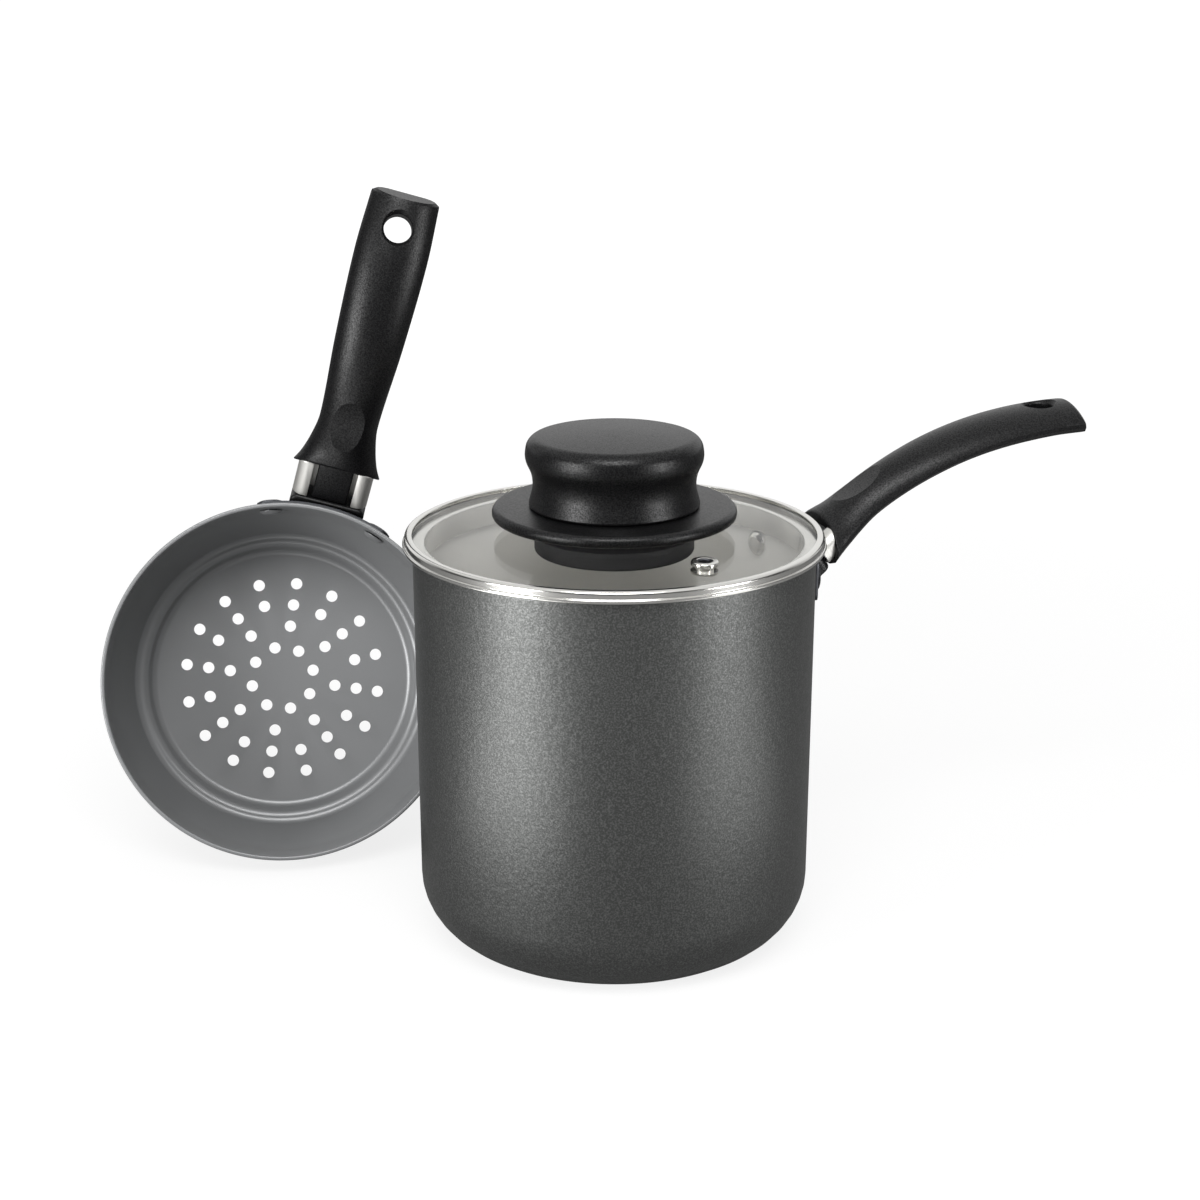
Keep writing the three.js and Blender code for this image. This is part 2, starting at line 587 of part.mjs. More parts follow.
// Lid
const channelFloor = lidSeat + LID_SHEET;
const glassRadius = lidBandRadius - LID_SHEET - GAP;
const glassLow = channelFloor + GAP;
const lipRadius = lidBandRadius - LID_SHEET - LID_LIP;
const domeAt = (r) => GLASS_RISE * (1 - (r / glassRadius) ** 2);
const lipLow = glassLow + GLASS_THICKNESS + domeAt(lipRadius) + GAP;
const lipHigh = lipLow + LID_SHEET;
const lidRim = turnedRing([
  [lidSkirtRadius - LID_SHEET, -LID_SKIRT_DEPTH],
  [lidSkirtRadius, -LID_SKIRT_DEPTH],
  [lidSkirtRadius, lidSeat],
  [lidBeadRadius, lidSeat, 0.8],
  [lidBeadRadius, lidSeat + LID_BEAD, 0.8],
  [lidBandRadius - 0.4, lidSeat + LID_BEAD],
  [lidBandRadius, lidSeat + LID_BEAD + 0.4],
  [lidBandRadius, lipHigh, 0.8],
  [lipRadius, lipHigh, 0.3],
  [lipRadius, lipLow],
  [lidBandRadius - LID_SHEET, lipLow],
  [lidBandRadius - LID_SHEET, channelFloor],
  [lidSkirtRadius - LID_SHEET, channelFloor],
]);
add(lid, "lid_rim", lidRim, BRIGHT);

const glassSteps = [0, 0.25, 0.5, 0.75, 1].map((share) => share * glassRadius);
const glassProfile = [
  ...glassSteps.map((r) => [r, glassLow + domeAt(r)]),
  ...glassSteps.reverse().map((r) => [r, glassLow + GLASS_THICKNESS + domeAt(r)]),
];
const glassTop = glassLow + GLASS_THICKNESS + GLASS_RISE;
const ventSlope = Math.atan((2 * GLASS_RISE * VENT_REACH) / glassRadius ** 2);
const atVent = (geometry) =>
  geometry
    .rotateY(ventSlope)
    .translate(VENT_REACH, 0, glassLow + GLASS_THICKNESS + domeAt(VENT_REACH))
    .rotateZ(rad(VENT_AZIMUTH));
const ventBore = atVent(bar(VENT_TUBE + GAP, -12, 12));
const boltBore = bar(BOLT_RADIUS + GAP, -20, 40);
add(lid, "lid_glass", cut(turned(glassProfile), boltBore, ventBore), ["#e6ebe8", 0.05, 0]);

const ventUnder = -GLASS_THICKNESS - GAP;
const vent = turnedRing(
  [
    [VENT_BORE, ventUnder - 0.6 * VENT_FLANGE],
    [VENT_FLANGE_RADIUS, ventUnder - 0.6 * VENT_FLANGE],
    [VENT_FLANGE_RADIUS, ventUnder],
    [VENT_TUBE, ventUnder],
    [VENT_TUBE, GAP],
    [VENT_FLANGE_RADIUS, GAP],
    [VENT_FLANGE_RADIUS, GAP + VENT_FLANGE, 1],
    [VENT_BORE, GAP + VENT_FLANGE, 0.8],
  ],
  SMALL_ROUND,
);
add(lid, "steam_vent", atVent(vent), BRIGHT);

// Knob and what holds it
const gasketLow = glassTop + GAP;
const bossLow = gasketLow + GASKET_THICKNESS + GAP;
const guardLow = bossLow + GUARD_BOSS;
const guardHigh = guardLow + GUARD_DISC;
const knobLow = guardHigh + GAP;
const gasketOut = GUARD_BOSS_RADIUS - 2;
const clearBolt = BOLT_RADIUS + GAP;
const gasket = turnedRing([
  [clearBolt, gasketLow],
  [gasketOut, gasketLow],
  [gasketOut, gasketLow + GASKET_THICKNESS],
  [clearBolt, gasketLow + GASKET_THICKNESS],
]);
add(lid, "knob_gasket", gasket, RUBBER);

const guardDisc = turnedRing([
  [clearBolt, bossLow],
  [GUARD_BOSS_RADIUS, bossLow, 0.6],
  [GUARD_BOSS_RADIUS, guardLow],
  [GUARD_RADIUS, guardLow, 1.8],
  [GUARD_RADIUS, guardHigh, 2.2],
  [clearBolt, guardHigh],
]);
add(lid, "knob_guard", guardDisc, BAKELITE);

const boreRadius = INSERT_RADIUS + GAP;
const boreTop = knobLow + INSERT_LENGTH + 2 * GAP;
const up = (share) => knobLow + share * KNOB_HEIGHT;
const knob = turned([
  [0, boreTop],
  [boreRadius, boreTop],
  [boreRadius, knobLow],
  [KNOB_FOOT_RADIUS, knobLow, 0.6],
  [KNOB_WAIST_RADIUS - 0.5, up(0.36), 30],
  [KNOB_HEAD_RADIUS + 0.2, up(0.66), 6],
  [KNOB_HEAD_RADIUS - 0.9, up(0.95), 5],
  [0, up(1.02)],
]);
add(lid, "lid_knob", knob, BAKELITE);

const insert = turnedRing(
  [
    [clearBolt, knobLow + GAP],
    [INSERT_RADIUS, knobLow + GAP],
    [INSERT_RADIUS, knobLow + GAP + INSERT_LENGTH],
    [clearBolt, knobLow + GAP + INSERT_LENGTH],
  ],
  SMALL_ROUND,
);
add(lid, "knob_insert", insert, BRASS);

const backingHigh = glassLow + domeAt(BACKING_RADIUS) - GAP;
const backingLow = backingHigh - BACKING_THICKNESS;
const webLow = backingHigh - BACKING_WEB;
const recessRadius = WASHER_RADIUS + WASHER_ROOM;
const backing = turnedRing([
  [clearBolt, webLow],
  [recessRadius, webLow],
  [recessRadius, backingLow],
  [BACKING_RADIUS, backingLow, 1],
  [BACKING_RADIUS, backingHigh],
  [clearBolt, backingHigh],
]);
add(lid, "knob_backing", backing, BAKELITE);

const washerHigh = webLow - GAP;
const washerLow = washerHigh - WASHER_THICKNESS;
const washer = turnedRing(
  [
    [clearBolt, washerLow],
    [WASHER_RADIUS, washerLow],
    [WASHER_RADIUS, washerHigh],
    [clearBolt, washerHigh],
  ],
  24,
);
add(lid, "knob_washer", washer, STEEL);

const headHigh = washerLow - GAP;
const boltTop = knobLow + INSERT_LENGTH - 1;
const bolt = turned(
  [
    [0, headHigh - BOLT_HEAD],
    [BOLT_HEAD_RADIUS, headHigh - BOLT_HEAD, 1.5],
    [BOLT_HEAD_RADIUS, headHigh],
    [BOLT_RADIUS, headHigh],
    [BOLT_RADIUS, boltTop],
    [0, boltTop],
  ],
  SMALL_ROUND,
);
add(lid, "knob_screw", bolt, STEEL);

export default root;
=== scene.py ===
"""The looks of a couscous steamer: a coated pot with a glass lid, and its steaming pan."""

import math
from types import SimpleNamespace

import bmesh
import bpy
from bpy.props import FloatProperty, FloatVectorProperty, IntProperty, PointerProperty
from bpy.types import Operator, Panel, PropertyGroup
from mathutils import Matrix, Vector


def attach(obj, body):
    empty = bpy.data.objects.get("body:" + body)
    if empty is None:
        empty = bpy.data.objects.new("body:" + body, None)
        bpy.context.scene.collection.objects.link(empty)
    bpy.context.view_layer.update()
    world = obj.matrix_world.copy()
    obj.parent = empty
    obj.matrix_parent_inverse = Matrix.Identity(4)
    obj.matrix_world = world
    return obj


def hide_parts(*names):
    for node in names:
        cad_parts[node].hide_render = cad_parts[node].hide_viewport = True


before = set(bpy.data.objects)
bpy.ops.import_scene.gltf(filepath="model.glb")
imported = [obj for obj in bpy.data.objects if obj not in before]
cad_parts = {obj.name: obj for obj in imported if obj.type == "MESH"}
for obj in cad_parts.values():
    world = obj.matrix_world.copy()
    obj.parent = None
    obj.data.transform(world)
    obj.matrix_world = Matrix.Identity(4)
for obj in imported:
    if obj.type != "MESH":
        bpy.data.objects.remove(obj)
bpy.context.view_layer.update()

bl_info = {
    "name": "Couscous steamer",
    "version": (1, 0, 0),
    "blender": (4, 5, 0),
    "location": "View3D > Sidebar > Steamer",
    "description": "Models and finishes the pieces of a pot, its lid and its steaming pan",
    "category": "Object",
}

# Blender counts in metres, and the sizes and profiles below are written in millimetres.
MM = 0.001
GAP = 0.3 * MM  # between pieces that touch
ROOM = GAP / MM  # the same gap in millimetres
NEAR = 1e-6  # places nearer to each other than this are one
ALONG = 0.99  # cosine from which a direction counts as along an axis
FACING = 0.8  # cosine from which a face counts as facing a way
ORIGIN = (0, 0, 0)
QUARTER_TURN = math.pi / 2
FACET = math.radians(9)  # turn of one facet of a rounded corner
SIDE_SHARE = 0.49  # most of a side that a rounded corner takes up


def linear(hex_colour):
    """The linear colour of an sRGB hex value."""
    parts = [int(hex_colour[i : i + 2], 16) / 255 for i in (1, 3, 5)]
    return tuple(c / 12.92 if c <= 0.04045 else ((c + 0.055) / 1.055) ** 2.4 for c in parts)


def length(name, description, millimetres):
    return FloatProperty(
        name=name, description=description, default=millimetres * MM, unit="LENGTH", precision=4
    )


def angle(name, description, degrees):
    return FloatProperty(
        name=name, description=description, default=math.radians(degrees), subtype="ANGLE"
    )


def colour(name, description, hex_colour):
    return FloatVectorProperty(
        name=name, description=description, default=linear(hex_colour), subtype="COLOR", size=3
    )


class PotSizes(PropertyGroup):
    mouth: length("Mouth", "Outside radius of the mouth", 72.2)
    height: length("Height", "From the base to the rim", 147.6)
    wall: length("Wall", "Thickness of the wall", 2.6)
    floor: length("Floor", "Thickness of the base", 2.6)
    corner: length("Corner", "Outside radius between wall and base", 23.5)
    draft: length("Draft", "How much narrower the wall is at the base", 0.8)
    foot: length("Foot", "Length of the spacer at the wall, along the handle's rise", 5)
    sleeve: length("Sleeve", "Length of the bright sleeve", 5)


class PanSizes(PropertyGroup):
    wall: length("Wall", "Thickness of the wall", 1.6)
    flare: angle("Flare", "Slope of the upper wall", 1.7)
    seat: length("Seat", "Depth at which the pot's mouth holds the pan", 24)
    ledge_depth: length("Ledge depth", "From the rim to the ledge", 50)
    taper: length("Taper", "How far the wall draws in from the rim to the ledge", 9)
    ledge: length("Ledge", "Width of the ledge", 4.4)
    step: length("Step", "From the ledge down to the floor", 5.5)
    step_slope: angle("Step slope", "Off the pan's axis", 24)
    hole: length("Hole", "Radius of a steam hole", 2.35)
    x: length("Place across", "Middle of the rim, across", -130)
    y: length("Place behind", "Middle of the rim, towards the back", 60)
    yaw: angle("Turn", "How far the mouth turns to the right", 8.7)
    roll: angle("Roll", "How far the handle leans to the right", 16.5)
    foot: length("Foot", "Length of the spacer at the wall, along the handle's rise", 7)
    sleeve: length("Sleeve", "Length of the bright sleeve", 12.5)


class HandleSizes(PropertyGroup):
    azimuth: angle("Azimuth", "Round the pot, from the right towards the back", 21)
    drop: length("Drop", "Of the handle's middle line below the rim, at the wall", 12)
    rise: angle("Rise", "Slope of the handle where it leaves the wall", 38.5)
    straight: length("Straight", "Of the handle before it bends", 10)
    bend: length("Bend radius", "Of the handle's middle line", 148)
    tail: length("Tail", "Level end of the handle", 4.5)
    thumb: length("Thumb rest", "Its middle, from the collar", 23)
    thumb_length: length("Thumb rest length", "Along the handle", 24)
    thumb_depth: length("Thumb rest depth", "At its middle", 1.6)
    hole: length("Hanging hole", "Radius", 5.4)
    hole_inset: length("Hole inset", "From the handle's end", 13)
    sleeve_width: length("Sleeve width", "Of the bright sleeve", 30)
    sleeve_height: length("Sleeve height", "Of the bright sleeve", 9.6)
    sleeve_sheet: length("Sleeve sheet", "Thickness of the sleeve's steel", 1.2)
    tongue: length("Tongue", "Width of the tongue in the sleeve", 14)
    stem: length("Stem", "Width of the bracket's stem", 12)


class LidSizes(PropertyGroup):
    sheet: length("Sheet", "Thickness of the rim's steel", 0.5)
    skirt: length("Skirt", "Depth of the skirt inside the mouth", 8)
    overhang: length("Overhang", "Of the bead past the pot's mouth", 3.5)
    bead: length("Bead", "Height of the bead", 1.5)
    lip: length("Lip", "How far the rim reaches in over the glass", 2.2)
    glass: length("Glass", "Thickness of the glass", 2.6)
    rise: length("Rise", "Of the middle of the glass above its edge", 2.4)
    vent_reach: length("Vent reach", "From the middle of the lid to the steam vent", 54)
    vent_azimuth: angle("Vent azimuth", "From the right towards the back", -55.5)
    guard: length("Guard", "Radius of the finger guard", 43.7)
    # Painted shade: the dark disc under the glass is as wide as the patch of shade under the finger
    # guard.
    backing: length("Backing", "Radius of the black disc under the glass", 28.6)
    knob: length("Knob", "Radius of the knob's head", 31.85)
    knob_height: length("Knob height", "Of the knob above its guard", 26)


class Colours(PropertyGroup):
    graphite: colour("Graphite", "Coating of the pot and of the pan's outside", "#555655")
    speck: colour("Speck", "Light grains in the coating", "#767776")
    lining: colour("Lining", "Coating of the pan's inside", "#7d7e7f")
    pot_lining: colour("Pot lining", "Coating of the pot's inside", "#e9e8e5")
    bakelite: colour("Bakelite", "Knob, finger guard, handles and feet", "#080809")
    # Painted shade: this grey-black disc under the glass stands in for the shade under the finger
    # guard.
    dull: colour("Dull bakelite", "Disc under the glass", "#333335")
    bright: colour("Bright steel", "Lid rim, sleeves, vent and the pot's rivets", "#d8d7d3")
    satin: colour("Satin steel", "Washer and screws", "#a3a3a1")
    # Also given to the steam vent's bore, where it is painted shade.
    blackened: colour("Blackened steel", "Brackets, and rivets on the outside", "#4c4d50")
    brass: colour("Brass", "Insert in the knob", "#b08d4a")
    rubber: colour("Rubber", "Seal under the finger guard", "#1c1c1c")
    glass: colour("Glass", "Tint of the lid's glass", "#f7f7f6")


class StageSizes(PropertyGroup):
    eye: FloatVectorProperty(
        name="Eye", description="Where the camera stands", default=(0, -0.7955, 0.3744),
        subtype="TRANSLATION", size=3,
    )
    pitch: angle("Pitch", "How far the camera looks down", 17.33)
    yaw: angle("Yaw", "How far the camera looks to the left", 0.37)
    lens: FloatProperty(name="Lens", description="Focal length on a 36 mm frame", default=69.29)
    turns: IntProperty(name="Turns", description="Facets round a vessel", default=192)


def sizes(name):
    return getattr(bpy.context.scene, "steamer_" + name)


# Modelling helpers


def named(name):
    """Names the object that was just added for its piece."""
    piece = bpy.context.object
    piece.name = piece.data.name = name
    return piece


def clear():
    bpy.ops.object.select_all(action="DESELECT")


def only(piece):
    clear()
    piece.select_set(True)
    bpy.context.view_layer.objects.active = piece


def mode(kind):
    bpy.ops.object.mode_set(mode=kind)


def pick(kind, wanted):
    """Selects the verts, edges or faces that are wanted, and nothing else."""
    bpy.ops.mesh.select_mode(type={"verts": "VERT", "edges": "EDGE", "faces": "FACE"}[kind])
    bpy.ops.mesh.select_all(action="DESELECT")
    drawn = bmesh.from_edit_mesh(bpy.context.edit_object.data)
    for part in getattr(drawn, kind):
        if wanted(part):
            part.select_set(True)
    drawn.select_flush_mode()
    bmesh.update_edit_mesh(bpy.context.edit_object.data)


def extrude(x, y, z):
    bpy.ops.mesh.extrude_region_move(TRANSFORM_OT_translate={"value": (x, y, z)})


def resize(x, y, z, centre):
    bpy.ops.transform.resize(value=(x, y, z), center_override=centre)


def swing(turn, centre):
    """Turns what is selected about Y by the right-hand rule."""
    bpy.ops.transform.rotate(value=-turn, orient_axis="Y", center_override=centre)


def tidy():
    """Merges doubles and turns the faces outwards."""
    bpy.ops.mesh.select_all(action="SELECT")
    bpy.ops.mesh.remove_doubles(threshold=2 * NEAR)
    bpy.ops.mesh.normals_make_consistent(inside=False)


def smooth(piece, degrees=32):
    only(piece)
    bpy.ops.object.shade_smooth_by_angle(angle=math.radians(degrees))


def upright(corner):
    """A profile's corner in metres, in the plane that the profile is drawn in."""
    return Vector((corner[0], 0, corner[1])) * MM


def turned(name, corners, steps=None):
    """A piece turned about Z: a point drawn out into the profile [radius, height, fillet] in
    millimetres, its corners rounded, then spun. A profile off the axis closes on itself."""
    clear()
    bpy.ops.mesh.primitive_plane_add(size=MM)
    piece = named(name)
    mode("EDIT")
    bpy.ops.mesh.select_mode(type="VERT")
    bpy.ops.mesh.merge(type="CENTER")
    profile = [upright(corner) for corner in corners]
    if corners[0][0] > 0 or corners[-1][0] > 0:
        profile.append(profile[0])
    bpy.ops.transform.translate(value=profile[0])
    for before, after in zip(profile, profile[1:]):
        extrude(*(after - before))
    bpy.ops.mesh.select_all(action="SELECT")
    bpy.ops.mesh.remove_doubles(threshold=NEAR)
    for i, corner in enumerate(corners):
        if len(corner) < 3:
            continue
        here = upright(corner)
        a = upright(corners[i - 1]) - here
        b = upright(corners[(i + 1) % len(corners)]) - here
        turn = math.pi - a.angle(b)
        reach = min(corner[2] * MM * math.tan(turn / 2), SIDE_SHARE * min(a.length, b.length))
        pick("verts", lambda v: (v.co - here).length < NEAR)
        bpy.ops.mesh.bevel(
            offset=reach, segments=max(2, round(turn / FACET)), affect="VERTICES"
        )
    bpy.ops.mesh.select_all(action="SELECT")
    bpy.ops.mesh.spin(
        steps=steps or sizes("stage").turns, angle=2 * math.pi, center=ORIGIN, axis=(0, 0, 1)
    )
    tidy()
    mode("OBJECT")
    smooth(piece)
    return piece


def block(name, low, high, edge=0, segments=4, along=None):
    """A box between two corners in millimetres, its edges rounded, or only those along one axis."""
    clear()
    low, high = Vector(low) * MM, Vector(high) * MM
    bpy.ops.mesh.primitive_cube_add(size=1, location=(low + high) / 2, scale=high - low)
    piece = named(name)
    bpy.ops.object.transform_apply(location=True, rotation=True, scale=True)
    mode("EDIT")
    if edge:
        if along is None:
            bpy.ops.mesh.select_all(action="SELECT")
        else:
            pick("edges", lambda e: abs((e.verts[1].co - e.verts[0].co).normalized()[along]) > ALONG)
        bpy.ops.mesh.bevel(offset=edge * MM, segments=segments, affect="EDGES")
    tidy()
    mode("OBJECT")
    smooth(piece)
    return piece


def carve(piece, tool, operation="DIFFERENCE"):
    """Cuts a piece with a tool, and takes the tool away."""
    only(piece)
    cut = piece.modifiers.new("carve", "BOOLEAN")
    cut.object = tool
    cut.operation = operation
    cut.solver = "EXACT"
    bpy.ops.object.modifier_apply(modifier=cut.name)
    bpy.data.objects.remove(tool)
    return piece


def soften(piece, radius, segments=2, degrees=40):
    """Rounds a piece's sharp edges a little."""
    only(piece)
    bevel = piece.modifiers.new("soften", "BEVEL")
    bevel.width = radius * MM
    bevel.segments = segments
    bevel.limit_method = "ANGLE"
    bevel.angle_limit = math.radians(degrees)
    bevel.use_clamp_overlap = True
    bpy.ops.object.modifier_apply(modifier=bevel.name)
    smooth(piece)


def joined(piece, *others):
    only(piece)
    for other in others:
        other.select_set(True)
    bpy.ops.object.join()
    return piece


def settle(piece, place):
    """Moves a piece to its place, and puts the place into its mesh."""
    only(piece)
    piece.matrix_world = place
    bpy.ops.object.transform_apply(location=True, rotation=True, scale=True)
    return piece


def dress(piece, body, node_name, slot, *finishes):
    """Gives a finished piece its materials and its body, and hides the solid it stands for."""
    if not piece.data.polygons:
        raise RuntimeError(f"{piece.name} came out empty")
    piece.data.materials.clear()
    for finish in finishes:
        piece.data.materials.append(finish())
    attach(piece, body)
    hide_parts(node_name)


def coat_inside(piece, is_inside):
    """Gives the second material to the faces that lie inside."""
    only(piece)
    mode("EDIT")
    pick("faces", is_inside)
    piece.active_material_index = 1
    bpy.ops.object.material_slot_assign()
    mode("OBJECT")


# Materials


def node(tree, kind, values=None, links=None, **settings):
    """Adds a node with its settings, its socket values and its links."""
    made = tree.nodes.new(kind)
    for name, value in settings.items():
        setattr(made, name, value)
    for socket, value in (values or {}).items():
        made.inputs[socket].default_value = value
    for socket, source in (links or {}).items():
        tree.links.new(source, made.inputs[socket])
    return made


def material(name):
    """A new material and its emptied tree, or the material made before and no tree."""
    known = bpy.data.materials.get(name)
    if known:
        return known, None
    made = bpy.data.materials.new(name)
    made.use_nodes = True
    made.node_tree.nodes.clear()
    return made, made.node_tree


def rgba(name):
    return (*getattr(sizes("colours"), name), 1)


def ramp(made, *stops):
    """Sets a colour ramp's stops, each a place and a colour."""
    elements = made.color_ramp.elements
    for element, (place, value) in zip(elements, stops):
        element.position = place
        element.color = value
    return made


def graphite_coating():
    """Sprayed non-stick on aluminium: dark, with fine light grains and a slight orange peel
    that breaks up its soft gloss."""
    made, tree = material("Sprayed graphite non-stick")
    if tree is None:
        return made
    at = node(tree, "ShaderNodeTexCoord").outputs["Object"]
    # Grains about 0.6 mm apart, coarser than the real ones so that they show.
    grain = node(tree, "ShaderNodeTexNoise", {"Scale": 1 / (0.6 * MM), "Detail": 2}, {"Vector": at})
    specks = ramp(
        node(tree, "ShaderNodeValToRGB", links={"Fac": grain.outputs["Fac"]}),
        (0.42, rgba("graphite")), (0.72, rgba("speck")),
    )
    # Orange peel about 2.2 mm from crest to crest.
    peel = node(tree, "ShaderNodeTexNoise", {"Scale": 1 / (2.2 * MM), "Detail": 1}, {"Vector": at})
    waves = node(
        tree, "ShaderNodeBump", {"Strength": 0.35, "Distance": 0.25 * MM},
        {"Height": peel.outputs["Fac"]},
    )
    pits = node(
        tree, "ShaderNodeBump", {"Strength": 0.3, "Distance": 0.12 * MM},
        {"Height": grain.outputs["Fac"], "Normal": waves.outputs["Normal"]},
    )
    coat = node(
        tree, "ShaderNodeBsdfPrincipled", {"Roughness": 0.4, "Metallic": 0.9},
        {"Base Color": specks.outputs["Color"], "Normal": pits.outputs["Normal"]},
    )
    node(tree, "ShaderNodeOutputMaterial", links={"Surface": coat.outputs["BSDF"]})
    return made


def grey_lining(name="Satin grey non-stick", colour_name="lining"):
    """Smooth grey non-stick: satin, with hardly any grain."""
    made, tree = material(name)
    if tree is None:
        return made
    at = node(tree, "ShaderNodeTexCoord").outputs["Object"]
    # Grains of about 0.8 mm, as coarse as they need to be to show.
    grain = node(tree, "ShaderNodeTexNoise", {"Scale": 1 / (0.8 * MM), "Detail": 2}, {"Vector": at})
    pits = node(
        tree, "ShaderNodeBump", {"Strength": 0.12, "Distance": 0.08 * MM},
        {"Height": grain.outputs["Fac"]},
    )
    coat = node(
        tree, "ShaderNodeBsdfPrincipled",
        {"Base Color": rgba(colour_name), "Roughness": 0.36, "Metallic": 0.3, "IOR": 1.5},
        {"Normal": pits.outputs["Normal"]},
    )
    node(tree, "ShaderNodeOutputMaterial", links={"Surface": coat.outputs["BSDF"]})
    return made


def pale_lining():
    """The pot's own lining: the same coating, paler."""
    return grey_lining("Satin pale grey non-stick", "pot_lining")


def moulded_bakelite():
    """Moulded phenolic: black, with the fine leathery grain of its mould."""
    made, tree = material("Moulded black bakelite")
    if tree is None:
        return made
    at = node(tree, "ShaderNodeTexCoord").outputs["Object"]
    # Mould grain about 0.5 mm across, coarser than the real one so that it shows.
    grain = node(tree, "ShaderNodeTexNoise", {"Scale": 1 / (0.5 * MM), "Detail": 2}, {"Vector": at})
    pits = node(
        tree, "ShaderNodeBump", {"Strength": 0.4, "Distance": 0.15 * MM},
        {"Height": grain.outputs["Fac"]},
    )
    # The crests of the grain shine, and its hollows are dull.
    shine = node(
        tree, "ShaderNodeMapRange",
        {"From Min": 0.35, "From Max": 0.65, "To Min": 0.2, "To Max": 0.6},
        {"Value": grain.outputs["Fac"]},
    )
    body = node(
        tree, "ShaderNodeBsdfPrincipled",
        {"Base Color": rgba("bakelite"), "Roughness": 0.38, "IOR": 1.4},
        {"Normal": pits.outputs["Normal"], "Specular IOR Level": shine.outputs[0]},
    )
    node(tree, "ShaderNodeOutputMaterial", links={"Surface": body.outputs["BSDF"]})
    return made


def plain(name, colour_name, **sockets):
    """A material that is the same all over."""
    made, tree = material(name)
    if tree is None:
        return made
    values = {"Base Color": rgba(colour_name), **sockets}
    shader = node(tree, "ShaderNodeBsdfPrincipled", values)
    node(tree, "ShaderNodeOutputMaterial", links={"Surface": shader.outputs["BSDF"]})
    return made


def shade_disc_bakelite():
    """Moulded phenolic in a greyer black, as painted shade: the disc under the glass stands in for
    the dark patch under the finger guard, where the guard shades the glass and blocks its bright
    reflection.
    """
    return plain("Dull moulded bakelite", "dull", Roughness=0.75)


def bright_steel():
    """Polished stainless sheet: mirror bright."""
    return plain("Polished stainless steel", "bright", Metallic=1, Roughness=0.18)


def brushed_steel():
    """Finely brushed stainless sheet: bright, with soft reflections."""
    return plain("Brushed stainless steel", "bright", Metallic=1, Roughness=0.45)


def satin_steel():
    """Tumbled steel: grey and softly shining."""
    return plain("Satin stainless steel", "satin", Metallic=1, Roughness=0.32)


def blackened_steel():
    """Steel with a black oxide finish: dark, with a little shine. In the steam vent's bore it stands
    for painted shade.
    """
    return plain("Black oxide steel", "blackened", Metallic=1, Roughness=0.45)


def insert_brass():
    """Machined brass: yellow and softly shining."""
    return plain("Machined brass", "brass", Metallic=1, Roughness=0.3)


def seal_rubber():
    """Pressed black rubber: dull."""
    return plain("Black rubber", "rubber", Roughness=0.8)


def clear_glass():
    """Toughened clear glass: it mirrors the bright background at a low angle, and lets the
    lamps' light through to the pot's inside."""
    made, tree = material("Toughened clear glass")
    if tree is None:
        return made
    # The index is below that of glass, so that the pane mirrors the knob only faintly.
    glass = node(
        tree, "ShaderNodeBsdfPrincipled",
        {"Base Color": rgba("glass"), "Roughness": 0, "IOR": 1.12, "Transmission Weight": 1},
    )
    open_to_light = node(tree, "ShaderNodeBsdfTransparent", {"Color": rgba("glass")})
    ray = node(tree, "ShaderNodeLightPath")
    unseen = node(
        tree, "ShaderNodeMath", operation="MAXIMUM",
        links={0: ray.outputs["Is Shadow Ray"], 1: ray.outputs["Is Diffuse Ray"]},
    )
    both = node(
        tree, "ShaderNodeMixShader",
        links={0: unseen.outputs[0], 1: glass.outputs[0], 2: open_to_light.outputs[0]},
    )
    node(tree, "ShaderNodeOutputMaterial", links={"Surface": both.outputs[0]})
    return made


# Where the two vessels' handles are fixed


def pan_rim():
    """Outside and inside radius of the pan's rim, in millimetres."""
    pot, pan = sizes("pot"), sizes("pan")
    outside = pot.mouth - pot.wall + pan.seat * math.tan(pan.flare)
    return outside / MM, (outside - pan.wall) / MM


def pan_lines():
    """The pan's inside line from its rim to its floor, in millimetres."""
    pot, pan = sizes("pot"), sizes("pan")
    inside = pan_rim()[1]
    ledge = inside - pan.taper / MM
    step = ledge - pan.ledge / MM
    down = (pan.ledge_depth + pan.step) / MM
    foot = step - pan.step / MM * math.tan(pan.step_slope)
    seat = (pot.mouth - pot.wall - pan.wall) / MM
    return [
        (inside, 0), (seat, -pan.seat / MM), (ledge, -pan.ledge_depth / MM),
        (step, -pan.ledge_depth / MM), (foot, -down), (0, -down),
    ]


def pan_lean():
    """How far the pan leans back as it lies on its drawn-in wall."""
    _, (top, high), (end, low), *_ = pan_lines()
    return math.atan2(top - end, high - low)


def vessel_place(vessel):
    """Where a vessel's rim is: its middle at the origin, its handle along X, up along Z."""
    if vessel == "pot":
        turn = Matrix.Rotation(sizes("handle").azimuth, 4, "Z")
        return Matrix.Translation((0, 0, sizes("pot").height)) @ turn
    pan = sizes("pan")
    lean = pan_lean()
    _, (top, high), *_ = pan_lines()
    rim = (top * math.cos(lean) - high * math.sin(lean)) * MM + pan.wall
    return (
        Matrix.Translation((pan.x, pan.y, rim))
        @ Matrix.Rotation(pan.yaw, 4, "Z")
        @ Matrix.Rotation(QUARTER_TURN - lean, 4, "X")
        @ Matrix.Rotation(QUARTER_TURN - pan.roll, 4, "Z")
    )


def mouth_radius(vessel):
    return sizes("pot").mouth / MM if vessel == "pot" else pan_rim()[0]


def wall_slope(vessel):
    pot = sizes("pot")
    return math.atan(pot.draft / pot.height) if vessel == "pot" else sizes("pan").flare


def collar(vessel):
    """From the wall to the handle's collar, along the rise, in millimetres."""
    return (sizes(vessel).foot + sizes(vessel).sleeve + 2 * GAP) / MM


